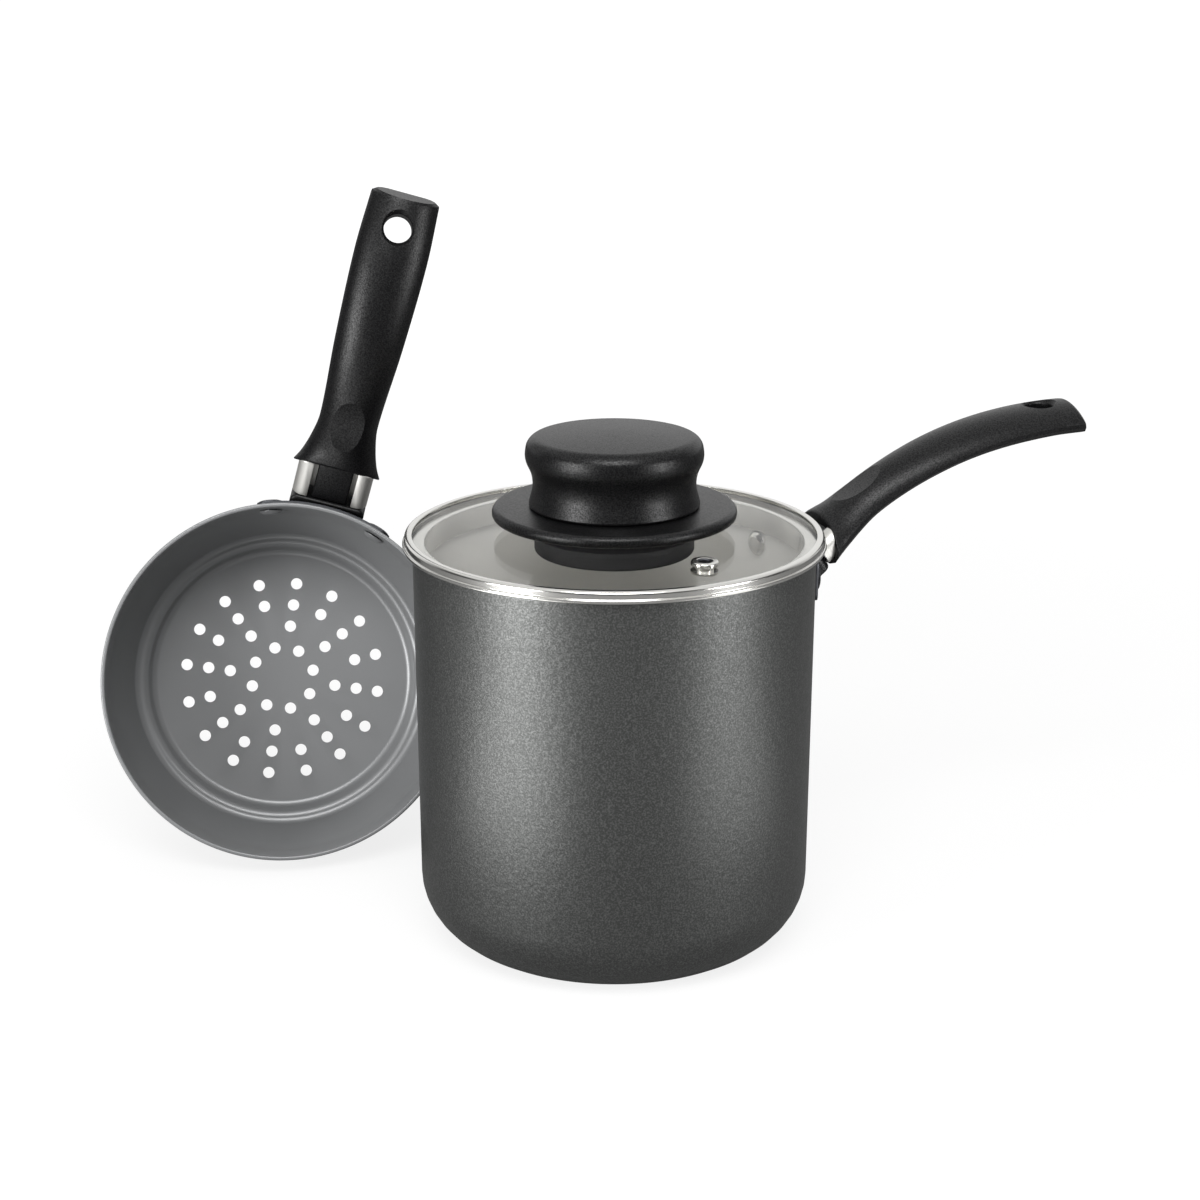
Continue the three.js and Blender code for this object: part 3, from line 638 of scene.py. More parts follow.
def rise_place(vessel, along=0):
    """The frame of the handle's straight rise, so far from the wall in millimetres."""
    handle = sizes("handle")
    return (
        vessel_place(vessel)
        @ Matrix.Translation((mouth_radius(vessel) * MM, 0, -handle.drop))
        @ Matrix.Rotation(-handle.rise, 4, "Y")
        @ Matrix.Translation((along * MM, 0, 0))
    )


# Handles


# Shares of the grip's length, and its half width and its heights above and below its middle line
# there, in millimetres.
STATIONS = (0, 0.045, 0.11, 0.2, 0.5, 0.8, 1)
HALF_WIDTHS = (17.6, 15.1, 12.9, 11.5, 13.2, 14.1, 13.2)
CROWNS = (7.5, 7.2, 6.6, 6.3, 5.8, 5.2, 5.4)
BELLIES = (6.6, 6.3, 5.8, 5.5, 5.5, 6.1, 5.8)
WAIST = 1.75  # how far the widest line lies below the middle line

SECTION_POINTS = 96  # of the full circle that the crown's arch is taken from
SECTION_NEAR = 1e-4  # as NEAR, for the section, which is drawn one metre high
SPRING = math.radians(15)  # above the circle's middle, where the arch begins
BELLY_STEPS = ((0.42, 0.95), (0.4, 0.86), (0.18, 0.78))  # share of its depth, and narrowing
RINGS = 46  # sections along the grip
RING_CROWDING = 1.25  # above 1, they stand closer near the collar
END_RINGS = (0.9, 1.6)  # two more sections, so far from the end
END_ROUND = 1.5  # radius of the end's corners, seen from above
COLLAR_LEAN = 0.7  # slope of the collar's face, its lower edge back towards the wall
END_LEAN = 0.4  # slope of the end face, the other way
LEAN_SHARE = 0.12  # of the grip, at either end, over which the lean fades
BEND_STEPS = 40
CAP_CORNERS = 20  # only the two end faces have more corners than this
END_EDGE = 0.8
COLLAR_EDGE = 0.25
COLLAR_REACH = 4  # the middle of the collar's face lies before this
SLEEVE_CORNER = 4
SLEEVE_FACETS = 8  # of a rounded corner of the sleeve
SOCKET_REACH = 12  # how far in front of the collar the grip is cleared for the sleeve
DRILL_REACH = 20  # up and down from the middle line, well past the grip
DISH_WIDTH = 2.6  # of the slope round the hanging hole's upper edge
DISH_DEPTH = 1.7  # how far below the crown the slope starts
DISH_ABOVE = 0.9  # how far above the crown the tool goes on with it
DISH_ROUND = 1
ROLLER_LENGTH = 40  # past both sides of the grip
TONGUE_ROOT = 9  # how far the tongue reaches into the grip
TONGUE_ROOM = 0.5  # from the tongue up to the sleeve's upper face
TONGUE_EDGE = 0.8
LIP_ROOM = 1.8  # from the tongue's side to the edge of the sleeve's opening
SHEET_EDGE = 0.25  # rounding of the edges of the steel sheets


def along_stations(values, share):
    """A smooth line through the stations' values."""
    i = max(k for k in range(len(STATIONS) - 1) if STATIONS[k] <= share)

    def slope(k):
        low, high = max(k - 1, 0), min(k + 1, len(STATIONS) - 1)
        return (values[high] - values[low]) / (STATIONS[high] - STATIONS[low])

    span = STATIONS[i + 1] - STATIONS[i]
    t = (share - STATIONS[i]) / span
    return (
        values[i] * (1 + 2 * t) * (1 - t) ** 2
        + values[i + 1] * t * t * (3 - 2 * t)
        + span * (slope(i) * t * (1 - t) ** 2 + slope(i + 1) * t * t * (t - 1))
    )


def ease(share):
    share = min(max(share, 0), 1)
    return share * share * (3 - 2 * share)


def handle_length():
    handle = sizes("handle")
    return (handle.straight + handle.bend * handle.rise + handle.tail) / MM


def handle_line(reach):
    """A point of the bent middle line, so far from the collar, and its slope down, in the
    collar's own frame and in millimetres."""
    handle = sizes("handle")
    bend, straight = handle.bend / MM, handle.straight / MM
    turn = min(max((reach - straight) / bend, 0), handle.rise)
    x = min(reach, straight) + bend * math.sin(turn)
    z = -bend * (1 - math.cos(turn))
    tail = max(reach - straight - bend * handle.rise, 0)
    return Vector((x + tail * math.cos(turn), 0, z - tail * math.sin(turn))), turn


def grip_section(name):
    """The grip's section: a low arch over the waist line, and under it a belly that draws in."""
    clear()
    bpy.ops.mesh.primitive_circle_add(
        vertices=SECTION_POINTS, radius=1, rotation=(0, QUARTER_TURN, 0)
    )
    piece = named(name)
    bpy.ops.object.transform_apply(rotation=True)
    mode("EDIT")
    pick("verts", lambda v: v.co.z < math.sin(SPRING) - SECTION_NEAR)
    bpy.ops.mesh.delete(type="VERT")
    bpy.ops.mesh.select_all(action="SELECT")
    drawn = bmesh.from_edit_mesh(piece.data)
    low, wide = min(v.co.z for v in drawn.verts), max(v.co.y for v in drawn.verts)
    bpy.ops.transform.translate(value=(0, 0, -low))
    resize(1, 1 / wide, 1 / (1 - low), ORIGIN)
    pick("verts", lambda v: v.co.z < SECTION_NEAR)
    for depth, narrowing in BELLY_STEPS:
        extrude(0, 0, -depth)
        resize(1, narrowing, 1, ORIGIN)
    bpy.ops.mesh.edge_face_add()
    return piece


def grip_measures(share, whole):
    """Half width of the grip, and its heights above and below the waist line, in metres."""
    left = (1 - share) * whole
    cut = 0
    if left < END_ROUND:
        cut = END_ROUND - math.sqrt(max(END_ROUND**2 - (END_ROUND - left) ** 2, 0))
    width = along_stations(HALF_WIDTHS, share) - cut
    crown = along_stations(CROWNS, share) + WAIST
    belly = along_stations(BELLIES, share) - WAIST
    return width * MM, crown * MM, belly * MM


def loft_grip(shares, whole):
    """Draws the section out along X, and gives each ring its own measures."""
    width, crown, belly = 1, 1, 1
    x = 0

    def on_ring(v):
        return abs(v.co.x - x) < NEAR

    for k, share in enumerate(shares):
        if k:
            extrude(share * whole * MM - x, 0, 0)
            x = share * whole * MM
        target = grip_measures(share, whole)
        here = (x, 0, 0)
        pick("verts", on_ring)
        resize(1, target[0] / width, 1, here)
        pick("verts", lambda v: on_ring(v) and v.co.z > NEAR)
        resize(1, 1, target[1] / crown, here)
        pick("verts", lambda v: on_ring(v) and v.co.z < -NEAR)
        resize(1, 1, target[2] / belly, here)
        pick("verts", on_ring)
        width, crown, belly = target
    bpy.ops.mesh.edge_face_add()
    pick("verts", lambda v: v.co.x < NEAR)
    bpy.ops.mesh.edge_face_add()
    bpy.ops.mesh.select_all(action="SELECT")
    bpy.ops.transform.translate(value=(0, 0, -WAIST * MM))


def lean_ends(shares, whole):
    """Leans the collar's face and the end face, and fades the lean between them."""
    for share in shares:
        at_collar = 1 - ease(share / LEAN_SHARE)
        at_end = ease((share - (1 - LEAN_SHARE)) / LEAN_SHARE)
        lean = math.atan(COLLAR_LEAN * at_collar - END_LEAN * at_end)
        x = share * whole * MM
        if lean:
            pick("verts", lambda v: abs(v.co.x - x) < NEAR)
            resize(1, 1, 1 / math.cos(lean), (x, 0, 0))
            swing(lean, (x, 0, 0))


def bend_grip():
    """Bends the grip down, step by step from its far end back to the collar."""
    handle = sizes("handle")
    step = handle.bend * handle.rise / BEND_STEPS
    for k in reversed(range(BEND_STEPS)):
        x = handle.straight + (k + 0.5) * step
        pick("verts", lambda v: v.co.x > x)
        swing(handle.rise / BEND_STEPS, (x, 0, 0))


def round_caps(whole):
    """Rounds the rim of the end face, and more finely that of the collar's face."""
    _, turn = handle_line(whole)
    ahead = Vector((math.cos(turn), 0, -math.sin(turn)))
    pick("faces", lambda f: len(f.verts) > CAP_CORNERS and f.normal.dot(ahead) > FACING)
    bpy.ops.mesh.region_to_loop()
    bpy.ops.mesh.bevel(offset=END_EDGE * MM, segments=4, affect="EDGES", clamp_overlap=True)
    pick("faces", lambda f: (
        len(f.verts) > CAP_CORNERS and f.calc_center_median().x < COLLAR_REACH * MM
    ))
    bpy.ops.mesh.region_to_loop()
    bpy.ops.mesh.bevel(offset=COLLAR_EDGE * MM, segments=2, affect="EDGES", clamp_overlap=True)


def hanging_drill(whole):
    """The tool for the hanging hole, which opens out towards the crown."""
    handle = sizes("handle")
    inset, r = handle.hole_inset / MM, handle.hole / MM
    hole, slope = handle_line(whole - inset)
    top = along_stations(CROWNS, 1 - inset / whole)
    drill = turned(
        "drill",
        [
            (0, -DRILL_REACH), (r, -DRILL_REACH), (r, top - DISH_DEPTH, DISH_ROUND),
            (r + DISH_WIDTH, top + DISH_ABOVE), (r + DISH_WIDTH, DRILL_REACH), (0, DRILL_REACH),
        ],
        steps=72,
    )
    return settle(drill, Matrix.Translation(hole * MM) @ Matrix.Rotation(slope, 4, "Y"))


def thumb_roller(whole):
    """The tool for the thumb rest: a wide roller that dips into the crown."""
    handle = sizes("handle")
    middle, half = handle.thumb / MM, handle.thumb_length / MM / 2
    rest, slope = handle_line(middle)

    def crown(reach):
        return along_stations(CROWNS, reach / whole)

    fall = (crown(middle - half) - crown(middle + half)) / (2 * half)
    radius = half**2 / (2 * handle.thumb_depth / MM)
    deepest = crown(middle) - handle.thumb_depth / MM
    clear()
    bpy.ops.mesh.primitive_cylinder_add(
        vertices=256, radius=radius * MM, depth=ROLLER_LENGTH * MM, rotation=(QUARTER_TURN, 0, 0)
    )
    roller = named("roller")
    bpy.ops.object.transform_apply(rotation=True)
    lift = Matrix.Translation((0, 0, (deepest + radius) * MM))
    tilt = Matrix.Rotation(slope + math.atan(fall), 4, "Y")
    return settle(roller, Matrix.Translation(rest * MM) @ tilt @ lift)


def grip(name, tongue_length):
    """The moulded handle in the collar's own frame, with its tongue in front of the collar."""
    handle = sizes("handle")
    whole = handle_length()
    piece = grip_section(name)
    rings = {(k / RINGS) ** RING_CROWDING for k in range(RINGS + 1)}
    shares = sorted(rings | {1 - inset / whole for inset in END_RINGS})
    loft_grip(shares, whole)
    lean_ends(shares, whole)
    bend_grip()
    round_caps(whole)
    tidy()
    mode("OBJECT")
    w, h = handle.sleeve_width / MM / 2 + ROOM, handle.sleeve_height / MM / 2 + ROOM
    socket = block(
        "socket", (-SOCKET_REACH, -w, -h), (0, w, h), SLEEVE_CORNER + ROOM, SLEEVE_FACETS, along=0
    )
    carve(piece, socket)
    carve(piece, hanging_drill(whole))
    carve(piece, thumb_roller(whole))
    smooth(piece, degrees=15)

    w, high = handle.tongue / MM / 2, handle.sleeve_height / MM / 2 - TONGUE_ROOM
    tongue = block(
        "tongue", (-tongue_length, -w, 0), (TONGUE_ROOT, w, high), TONGUE_EDGE, segments=3
    )
    return joined(piece, tongue)


class STEAMER_OT_handles(Operator):
    """Models the two moulded handles"""

    bl_idname = "steamer.handles"
    bl_label = "Handles"

    def execute(self, context):
        for vessel in ("pot", "pan"):
            piece = grip(f"{vessel}-grip", (sizes(vessel).sleeve + GAP) / MM)
            settle(piece, rise_place(vessel, collar(vessel)))
            dress(piece, vessel, f"{vessel}_handle", "bakelite", moulded_bakelite)
        return {"FINISHED"}


def sleeve(name, size):
    """A bright sleeve, open along its top, folded from one sheet, starting at the foot."""
    handle = sizes("handle")
    w, h = handle.sleeve_width / MM / 2, handle.sleeve_height / MM / 2
    lip = handle.tongue / MM / 2 + LIP_ROOM
    piece = block(name, (0, -w, -h), (size, w, h), SLEEVE_CORNER, SLEEVE_FACETS, along=0)
    only(piece)
    mode("EDIT")
    for side in (-lip, lip):
        bpy.ops.mesh.select_all(action="SELECT")
        bpy.ops.mesh.bisect(plane_co=(0, side * MM, 0), plane_no=(0, 1, 0))
    pick("faces", lambda f: abs(f.normal.x) > ALONG or (
        f.normal.z > ALONG and abs(f.calc_center_median().y) < lip * MM
    ))
    bpy.ops.mesh.delete(type="FACE")
    # The upper half of the far end follows the lean of the handle's collar.
    drawn = bmesh.from_edit_mesh(piece.data)
    for height in sorted({round(v.co.z, 5) for v in drawn.verts if v.co.z > 0.1 * MM}):
        pick("verts", lambda v: v.co.x > 0.5 * size * MM and round(v.co.z, 5) == height)
        bpy.ops.transform.translate(value=(COLLAR_LEAN * (height + GAP), 0, 0))
    tidy()
    mode("OBJECT")
    sheet = piece.modifiers.new("sheet", "SOLIDIFY")
    sheet.thickness = handle.sleeve_sheet
    sheet.offset = -1
    bpy.ops.object.modifier_apply(modifier=sheet.name)
    soften(piece, SHEET_EDGE)
    return piece


class STEAMER_OT_sleeves(Operator):
    """Models the bright sleeves between the handles and their feet"""

    bl_idname = "steamer.sleeves"
    bl_label = "Sleeves"

    def execute(self, context):
        for vessel in ("pot", "pan"):
            piece = sleeve(f"{vessel}-sleeve", sizes(vessel).sleeve / MM)
            settle(piece, rise_place(vessel, (sizes(vessel).foot + GAP) / MM))
            dress(piece, vessel, f"{vessel}_flame_guard", "bright_steel", brushed_steel)
        return {"FINISHED"}


# Feet, brackets and rivets


# The tools reach well past what they cut.
PLUG_DEPTH = 70
PLUG_HEIGHT = 40
LID_ROOM = 2 * ROOM
LID_ROOM_HEIGHT = 60

FOOT_WIDTH = 30
FOOT_HEIGHT = 11
FOOT_ROOT = 30  # how far inside the wall its block starts, before the wall's shape is cut out
FOOT_SHOULDER = 3
FOOT_EDGE = 1.2
FOOT_CUT_EDGE = 0.35

SADDLE_SHEET = 0.9
SADDLE_LOW = -22  # its lower and upper edge, from the rim
SADDLE_HIGH = -5
SADDLE_SPREAD = math.radians(22.5)  # to either side of the handle
SADDLE_CORNER = 4
STEM_ROOT = 17  # how far inside the wall its block starts
STEM_REACH = 14  # how far it goes past the collar
STEM_LOW = -3.3  # its lower and upper face, from the handle's middle line
STEM_HIGH = -0.9

RIVET_SPREAD = math.radians(18)  # to either side of the handle
RIVET_DROP = 13.5  # below the rim
RIVET_SHANK = 2.4
RIVET_BRIM = 4.5  # radius of its head and of its pressed tail
RIVET_CROWN = 3  # where the head and the tail start to slope down to the brim
RIVET_EDGE = 0.2
RIVET_HEAD = 1.5  # inside the vessel
RIVET_TAIL = 0.8  # pressed flat outside
RIVET_TAIL_SLOPE = 0.1

SCREW_PLACE = 8.4  # past the collar
SCREW_LOW = -5.5  # its lowest point, the seat of its head and its end, from the middle line
SCREW_SEAT = -4.1
SCREW_END = 3.9
SCREW_HEAD = 3.8
SCREW_CROWN = 2.2  # where its head starts to slope up to its brim
SCREW_SLOPES = (0.05, 0.8)  # how far the crown and the brim lie above the lowest point
SCREW_SHANK = 2
SLOT = (2.6, 0.45)  # half length and half width of an arm of its cross slot
SLOT_DEPTH = 0.6


def wall_plug(vessel, out):
    """A cone that fills a vessel's mouth, its side so far outside the vessel's wall."""
    r, slope = mouth_radius(vessel) + out, math.tan(wall_slope(vessel))
    plug = turned("plug", [
        (0, -PLUG_DEPTH), (r - PLUG_DEPTH * slope, -PLUG_DEPTH),
        (r + PLUG_HEIGHT * slope, PLUG_HEIGHT), (0, PLUG_HEIGHT),
    ])
    return settle(plug, vessel_place(vessel))


def lid_room(vessel):
    """The room that the lid's bead needs over a vessel's rim."""
    reach = (sizes("pot").mouth + sizes("lid").overhang) / MM + LID_ROOM
    room = turned("room", [
        (0, -LID_ROOM), (reach, -LID_ROOM), (reach, LID_ROOM_HEIGHT), (0, LID_ROOM_HEIGHT),
    ])
    return settle(room, vessel_place(vessel))


class STEAMER_OT_feet(Operator):
    """Models the moulded spacers between the walls and the sleeves"""

    bl_idname = "steamer.feet"
    bl_label = "Feet"

    def execute(self, context):
        w, h = FOOT_WIDTH / 2, FOOT_HEIGHT / 2
        for vessel in ("pot", "pan"):
            foot = sizes(vessel).foot / MM
            piece = block(f"{vessel}-foot", (-FOOT_ROOT, -w, -h), (foot, w, h))
            only(piece)
            mode("EDIT")
            # The two upright edges of its outer end.
            pick("edges", lambda e: all(abs(v.co.x - foot * MM) < NEAR for v in e.verts) and (
                abs(e.verts[0].co.z - e.verts[1].co.z) > MM
            ))
            bpy.ops.mesh.bevel(offset=FOOT_SHOULDER * MM, segments=8, affect="EDGES")
            mode("OBJECT")
            soften(piece, FOOT_EDGE, segments=4)
            settle(piece, rise_place(vessel))
            carve(piece, wall_plug(vessel, SADDLE_SHEET + 2 * ROOM))
            carve(piece, lid_room(vessel))
            soften(piece, FOOT_CUT_EDGE)
            dress(piece, vessel, f"{vessel}_handle_foot", "bakelite", moulded_bakelite)
        return {"FINISHED"}


def bracket(vessel):
    """A saddle bent round the wall, and the stem that stands on it and carries the handle."""
    slope, radius = math.tan(wall_slope(vessel)), mouth_radius(vessel)

    def at(z, out):
        return radius + z * slope + out, z

    back = ROOM + SADDLE_SHEET
    band = turned(f"{vessel}-bracket", [
        at(SADDLE_LOW, ROOM), at(SADDLE_LOW, back), at(SADDLE_HIGH, back), at(SADDLE_HIGH, ROOM),
    ])
    half = radius * math.sin(SADDLE_SPREAD)
    window = block(
        "window", (0, -half, SADDLE_LOW), (2 * radius, half, SADDLE_HIGH),
        SADDLE_CORNER, segments=8, along=0,
    )
    carve(band, window, "INTERSECT")
    settle(band, vessel_place(vessel))
    w = sizes("handle").stem / MM / 2
    stem = block("stem", (-STEM_ROOT, -w, STEM_LOW), (collar(vessel) + STEM_REACH, w, STEM_HIGH))
    settle(stem, rise_place(vessel))
    carve(stem, wall_plug(vessel, ROOM))
    soften(band, SHEET_EDGE)
    joined(band, stem)
    dress(band, vessel, f"{vessel}_bracket", "steel", blackened_steel)


def rivet(vessel, side, word):
    """A rivet with a domed head inside the vessel, coated with it in the pan, and a flat tail."""
    slope = math.tan(wall_slope(vessel))
    inner = -sizes(vessel).wall / MM - 2 * ROOM
    outer = SADDLE_SHEET + 2 * ROOM
    piece = turned(
        f"{vessel}-rivet-{word}",
        [
            (0, inner - RIVET_HEAD), (RIVET_CROWN, inner - RIVET_HEAD + RIVET_EDGE, RIVET_CROWN),
            (RIVET_BRIM, inner - RIVET_EDGE, 0.4), (RIVET_BRIM, inner), (RIVET_SHANK, inner),
            (RIVET_SHANK, outer), (RIVET_BRIM, outer), (RIVET_BRIM, outer + RIVET_EDGE, 0.3),
            (RIVET_CROWN, outer + RIVET_TAIL - RIVET_TAIL_SLOPE, RIVET_CROWN),
            (0, outer + RIVET_TAIL),
        ],
        steps=64,
    )
    wall = (mouth_radius(vessel) - RIVET_DROP * slope) * MM
    place = (
        vessel_place(vessel)
        @ Matrix.Rotation(side * RIVET_SPREAD, 4, "Z")
        @ Matrix.Translation((wall, 0, -RIVET_DROP * MM))
        @ Matrix.Rotation(QUARTER_TURN + math.atan(slope), 4, "Y")
    )
    settle(piece, place)
    inside = bright_steel if vessel == "pot" else grey_lining
    dress(piece, vessel, f"{vessel}_rivet_{word}", "steel", blackened_steel, inside)
    back = place.inverted()
    coat_inside(piece, lambda f: (back @ f.calc_center_median()).z < inner * MM)


def handle_screw(vessel):
    """The screw that holds a handle on its stem, put in from below."""
    crown, brim = (SCREW_LOW + slope for slope in SCREW_SLOPES)
    piece = turned(
        f"{vessel}-handle-screw",
        [
            (0, SCREW_LOW), (SCREW_CROWN, crown, 2), (SCREW_HEAD, brim, 0.4),
            (SCREW_HEAD, SCREW_SEAT), (SCREW_SHANK, SCREW_SEAT), (SCREW_SHANK, SCREW_END),
            (0, SCREW_END),
        ],
        steps=48,
    )
    for w, d in (SLOT, SLOT[::-1]):
        low, high = (-w, -d, SCREW_LOW - SLOT_DEPTH), (w, d, SCREW_LOW + SLOT_DEPTH)
        carve(piece, block("slot", low, high))
    smooth(piece)
    settle(piece, rise_place(vessel, collar(vessel) + SCREW_PLACE))
    dress(piece, vessel, f"{vessel}_handle_screw", "steel", satin_steel)


class STEAMER_OT_brackets(Operator):
    """Models the riveted saddles with their stems, the rivets and the handles' screws"""

    bl_idname = "steamer.brackets"
    bl_label = "Brackets and rivets"

    def execute(self, context):
        for vessel in ("pot", "pan"):
            bracket(vessel)
            rivet(vessel, -1, "right")
            rivet(vessel, 1, "left")
            handle_screw(vessel)
        return {"FINISHED"}


# Vessels


POT_RIM_ROUND = 1
POT_FLOOR_FACING = 0.5  # a face inside that points up more than this is of the floor


class STEAMER_OT_pot(Operator):
    """Models the pot's body"""

    bl_idname = "steamer.pot"
    bl_label = "Pot"

    def execute(self, context):
        pot = sizes("pot")
        mouth, wall, high = pot.mouth / MM, pot.wall / MM, pot.height / MM
        base, floor, corner = (pot.mouth - pot.draft) / MM, pot.floor / MM, pot.corner / MM
        piece = turned(
            "pot-body",
            [
                (0, 0), (base, 0, corner), (mouth, high, POT_RIM_ROUND),
                (mouth - wall, high, POT_RIM_ROUND), (base - wall, floor, corner - wall),
                (0, floor),
            ],
        )
        dress(piece, "pot", "pot_body", "coated_aluminium", graphite_coating, pale_lining)
        slope = pot.draft / pot.height

        def is_inside(face):
            at = face.calc_center_median()
            middle_wall = base * MM - pot.wall / 2 + slope * at.z
            depth = at.z - pot.floor / 2
            return math.hypot(at.x, at.y) < middle_wall and depth > 0 and (
                face.normal.z > POT_FLOOR_FACING or face.normal.x * at.x + face.normal.y * at.y < 0
            )

        coat_inside(piece, is_inside)
        return {"FINISHED"}


# Fillets of the pan at its rim, its seat, its ledge, its step and its floor.
PAN_FILLETS_INSIDE = (0.6, 50, 5, 3, 3)
PAN_FILLETS_OUTSIDE = (0.6, 50, 6.5, 2, 4.5)
# Rings of steam holes: radius as a share of the floor's, number of holes, and the first one's
# place in degrees.
HOLE_RINGS = ((0.245, 8, 16.6), (0.413, 8, -5.7), (0.582, 16, -5.7), (0.751, 16, -5.7))
HOLED_SHARE = 0.85  # of the floor's radius, within which all the holes lie
PUNCH_LENGTH = 8
PAN_FACING = 0.2  # a face inside points up, or towards the axis, more than this


def pan_profile():
    """The pan's profile from the middle of its underside, over its rim, to that of its floor. The
    outside lies one wall thickness off the inside."""
    wall = sizes("pan").wall / MM
    inside = [Vector(point) for point in pan_lines()]
    normals = []
    for before, after in zip(inside, inside[1:]):
        run = after - before
        normals.append(Vector((-run.y, run.x)).normalized())
    outside = [Vector((pan_rim()[0], 0))]
    for first, second, corner in zip(normals, normals[1:], inside[1:-1]):
        half = (first + second).normalized()
        outside.append(corner + half * wall / half.dot(first))
    under = inside[-1] + normals[-1] * wall
    up = [(*corner, fillet) for corner, fillet in zip(outside, PAN_FILLETS_OUTSIDE)]
    down = [(*corner, fillet) for corner, fillet in zip(inside, PAN_FILLETS_INSIDE)]
    return [(*under,), *reversed(up), *down, (*inside[-1],)]


def punches():
    """The tools for the steam holes, as one object."""
    pan = sizes("pan")
    *_, foot, floor = [Vector(point) for point in pan_lines()]
    tools = []
    for share, holes, start in HOLE_RINGS:
        for k in range(holes):
            turn = -math.radians(start + 360 * k / holes)
            reach, height = share * foot.x, floor.y - pan.wall / MM / 2
            spot = Vector((reach * math.cos(turn), reach * math.sin(turn), height)) * MM
            clear()
            bpy.ops.mesh.primitive_cylinder_add(
                vertices=40, radius=pan.hole, depth=PUNCH_LENGTH * MM, location=spot
            )
            tools.append(named("punch"))
    return joined(*tools)


class STEAMER_OT_pan(Operator):
    """Models the steaming pan's body"""

    bl_idname = "steamer.pan"
    bl_label = "Steaming pan"

    def execute(self, context):
        piece = carve(turned("pan-body", pan_profile()), punches())
        smooth(piece)
        settle(piece, vessel_place("pan"))
        dress(piece, "pan", "pan_body", "lined_aluminium", graphite_coating, grey_lining)
        back = vessel_place("pan").inverted()
        turn = back.to_3x3()
        holed = HOLED_SHARE * pan_lines()[-2][0] * MM

        def is_inside(face):
            at, way = back @ face.calc_center_median(), turn @ face.normal
            across = Vector((at.x, at.y, 0)).normalized().dot(way)
            in_hole = math.hypot(at.x, at.y) < holed and abs(way.z) < PAN_FACING
            return way.z > PAN_FACING or across < -PAN_FACING or in_hole

        coat_inside(piece, is_inside)
        return {"FINISHED"}


# Lid


BEAD_STEP = 0.7  # how far the bead stands out past the band
SKIRT_ROOM = 0.5  # between the skirt and the narrower of the two mouths
PANE_STEPS = 24  # of the glass's curve, from its middle to its edge
PANE_EDGE = 0.5
VENT_BORE = 2.2
VENT_NECK = 3.2
VENT_FLANGE = 4.75
VENT_UNDER = 0.9  # height of the flange under the glass
VENT_TOP = 1.8
# Out to this radius the vent's bore is painted dark as shade.
VENT_SHADE_REACH = 2.6  # radius of the bore and of the start of its rounded edges


def on_pot():
    return Matrix.Translation((0, 0, sizes("pot").height))


def lid_measures():
    """Heights above the pot's rim and radii of the lid's pieces, in millimetres."""
    pot, lid = sizes("pot"), sizes("lid")
    sheet, glass, rise = lid.sheet / MM, lid.glass / MM, lid.rise / MM
    bead = (pot.mouth + lid.overhang) / MM
    band = bead - BEAD_STEP
    edge = band - sheet - ROOM
    low = ROOM + sheet + ROOM

    def under(r):
        return low + rise * (1 - (r / edge) ** 2)

    def over(r):
        return under(r) + glass

    lip = band - sheet - lid.lip / MM
    return SimpleNamespace(
        bead=bead, band=band, edge=edge, under=under, over=over, lip=lip, lip_low=over(lip) + ROOM
    )


def lid_rim():
    """The rim: a skirt in the pot's mouth, a bead on its edge, and a band with a lip over the
    glass."""
    pot, pan, lid = sizes("pot"), sizes("pan"), sizes("lid")
    at = lid_measures()
    sheet, deep = lid.sheet / MM, -lid.skirt / MM
    narrow = pan_rim()[1] + deep * math.tan(pan.flare)
    skirt = min((pot.mouth - pot.wall) / MM, narrow) - SKIRT_ROOM
    seat, top = ROOM, at.lip_low + sheet
    shoulder = seat + lid.bead / MM
    piece = turned(
        "lid-rim",
        [
            (skirt - sheet, deep), (skirt, deep), (skirt, seat, 0.4),
            (at.bead, seat, 0.75), (at.bead, shoulder, 0.75), (at.band, shoulder, 0.3),
            (at.band, top, 1.2), (at.lip, top, 0.3), (at.lip, at.lip_low),
            (at.band - sheet, at.lip_low, 0.6), (at.band - sheet, seat + sheet),
            (skirt - sheet, seat + sheet, 0.8),
        ],
    )
    settle(piece, on_pot())
    dress(piece, "lid", "lid_rim", "bright_steel", bright_steel)


def lid_pane():
    """The domed glass, its edge a little rounded."""
    at = lid_measures()
    radii = [k / PANE_STEPS * at.edge for k in range(PANE_STEPS + 1)]
    under = [(r, at.under(r)) for r in radii]
    over = [(r, at.over(r)) for r in reversed(radii)]
    under[-1] = (*under[-1], PANE_EDGE)
    over[0] = (*over[0], PANE_EDGE)
    piece = settle(turned("lid-glass", under + over), on_pot())
    dress(piece, "lid", "lid_glass", "clear_glass", clear_glass)


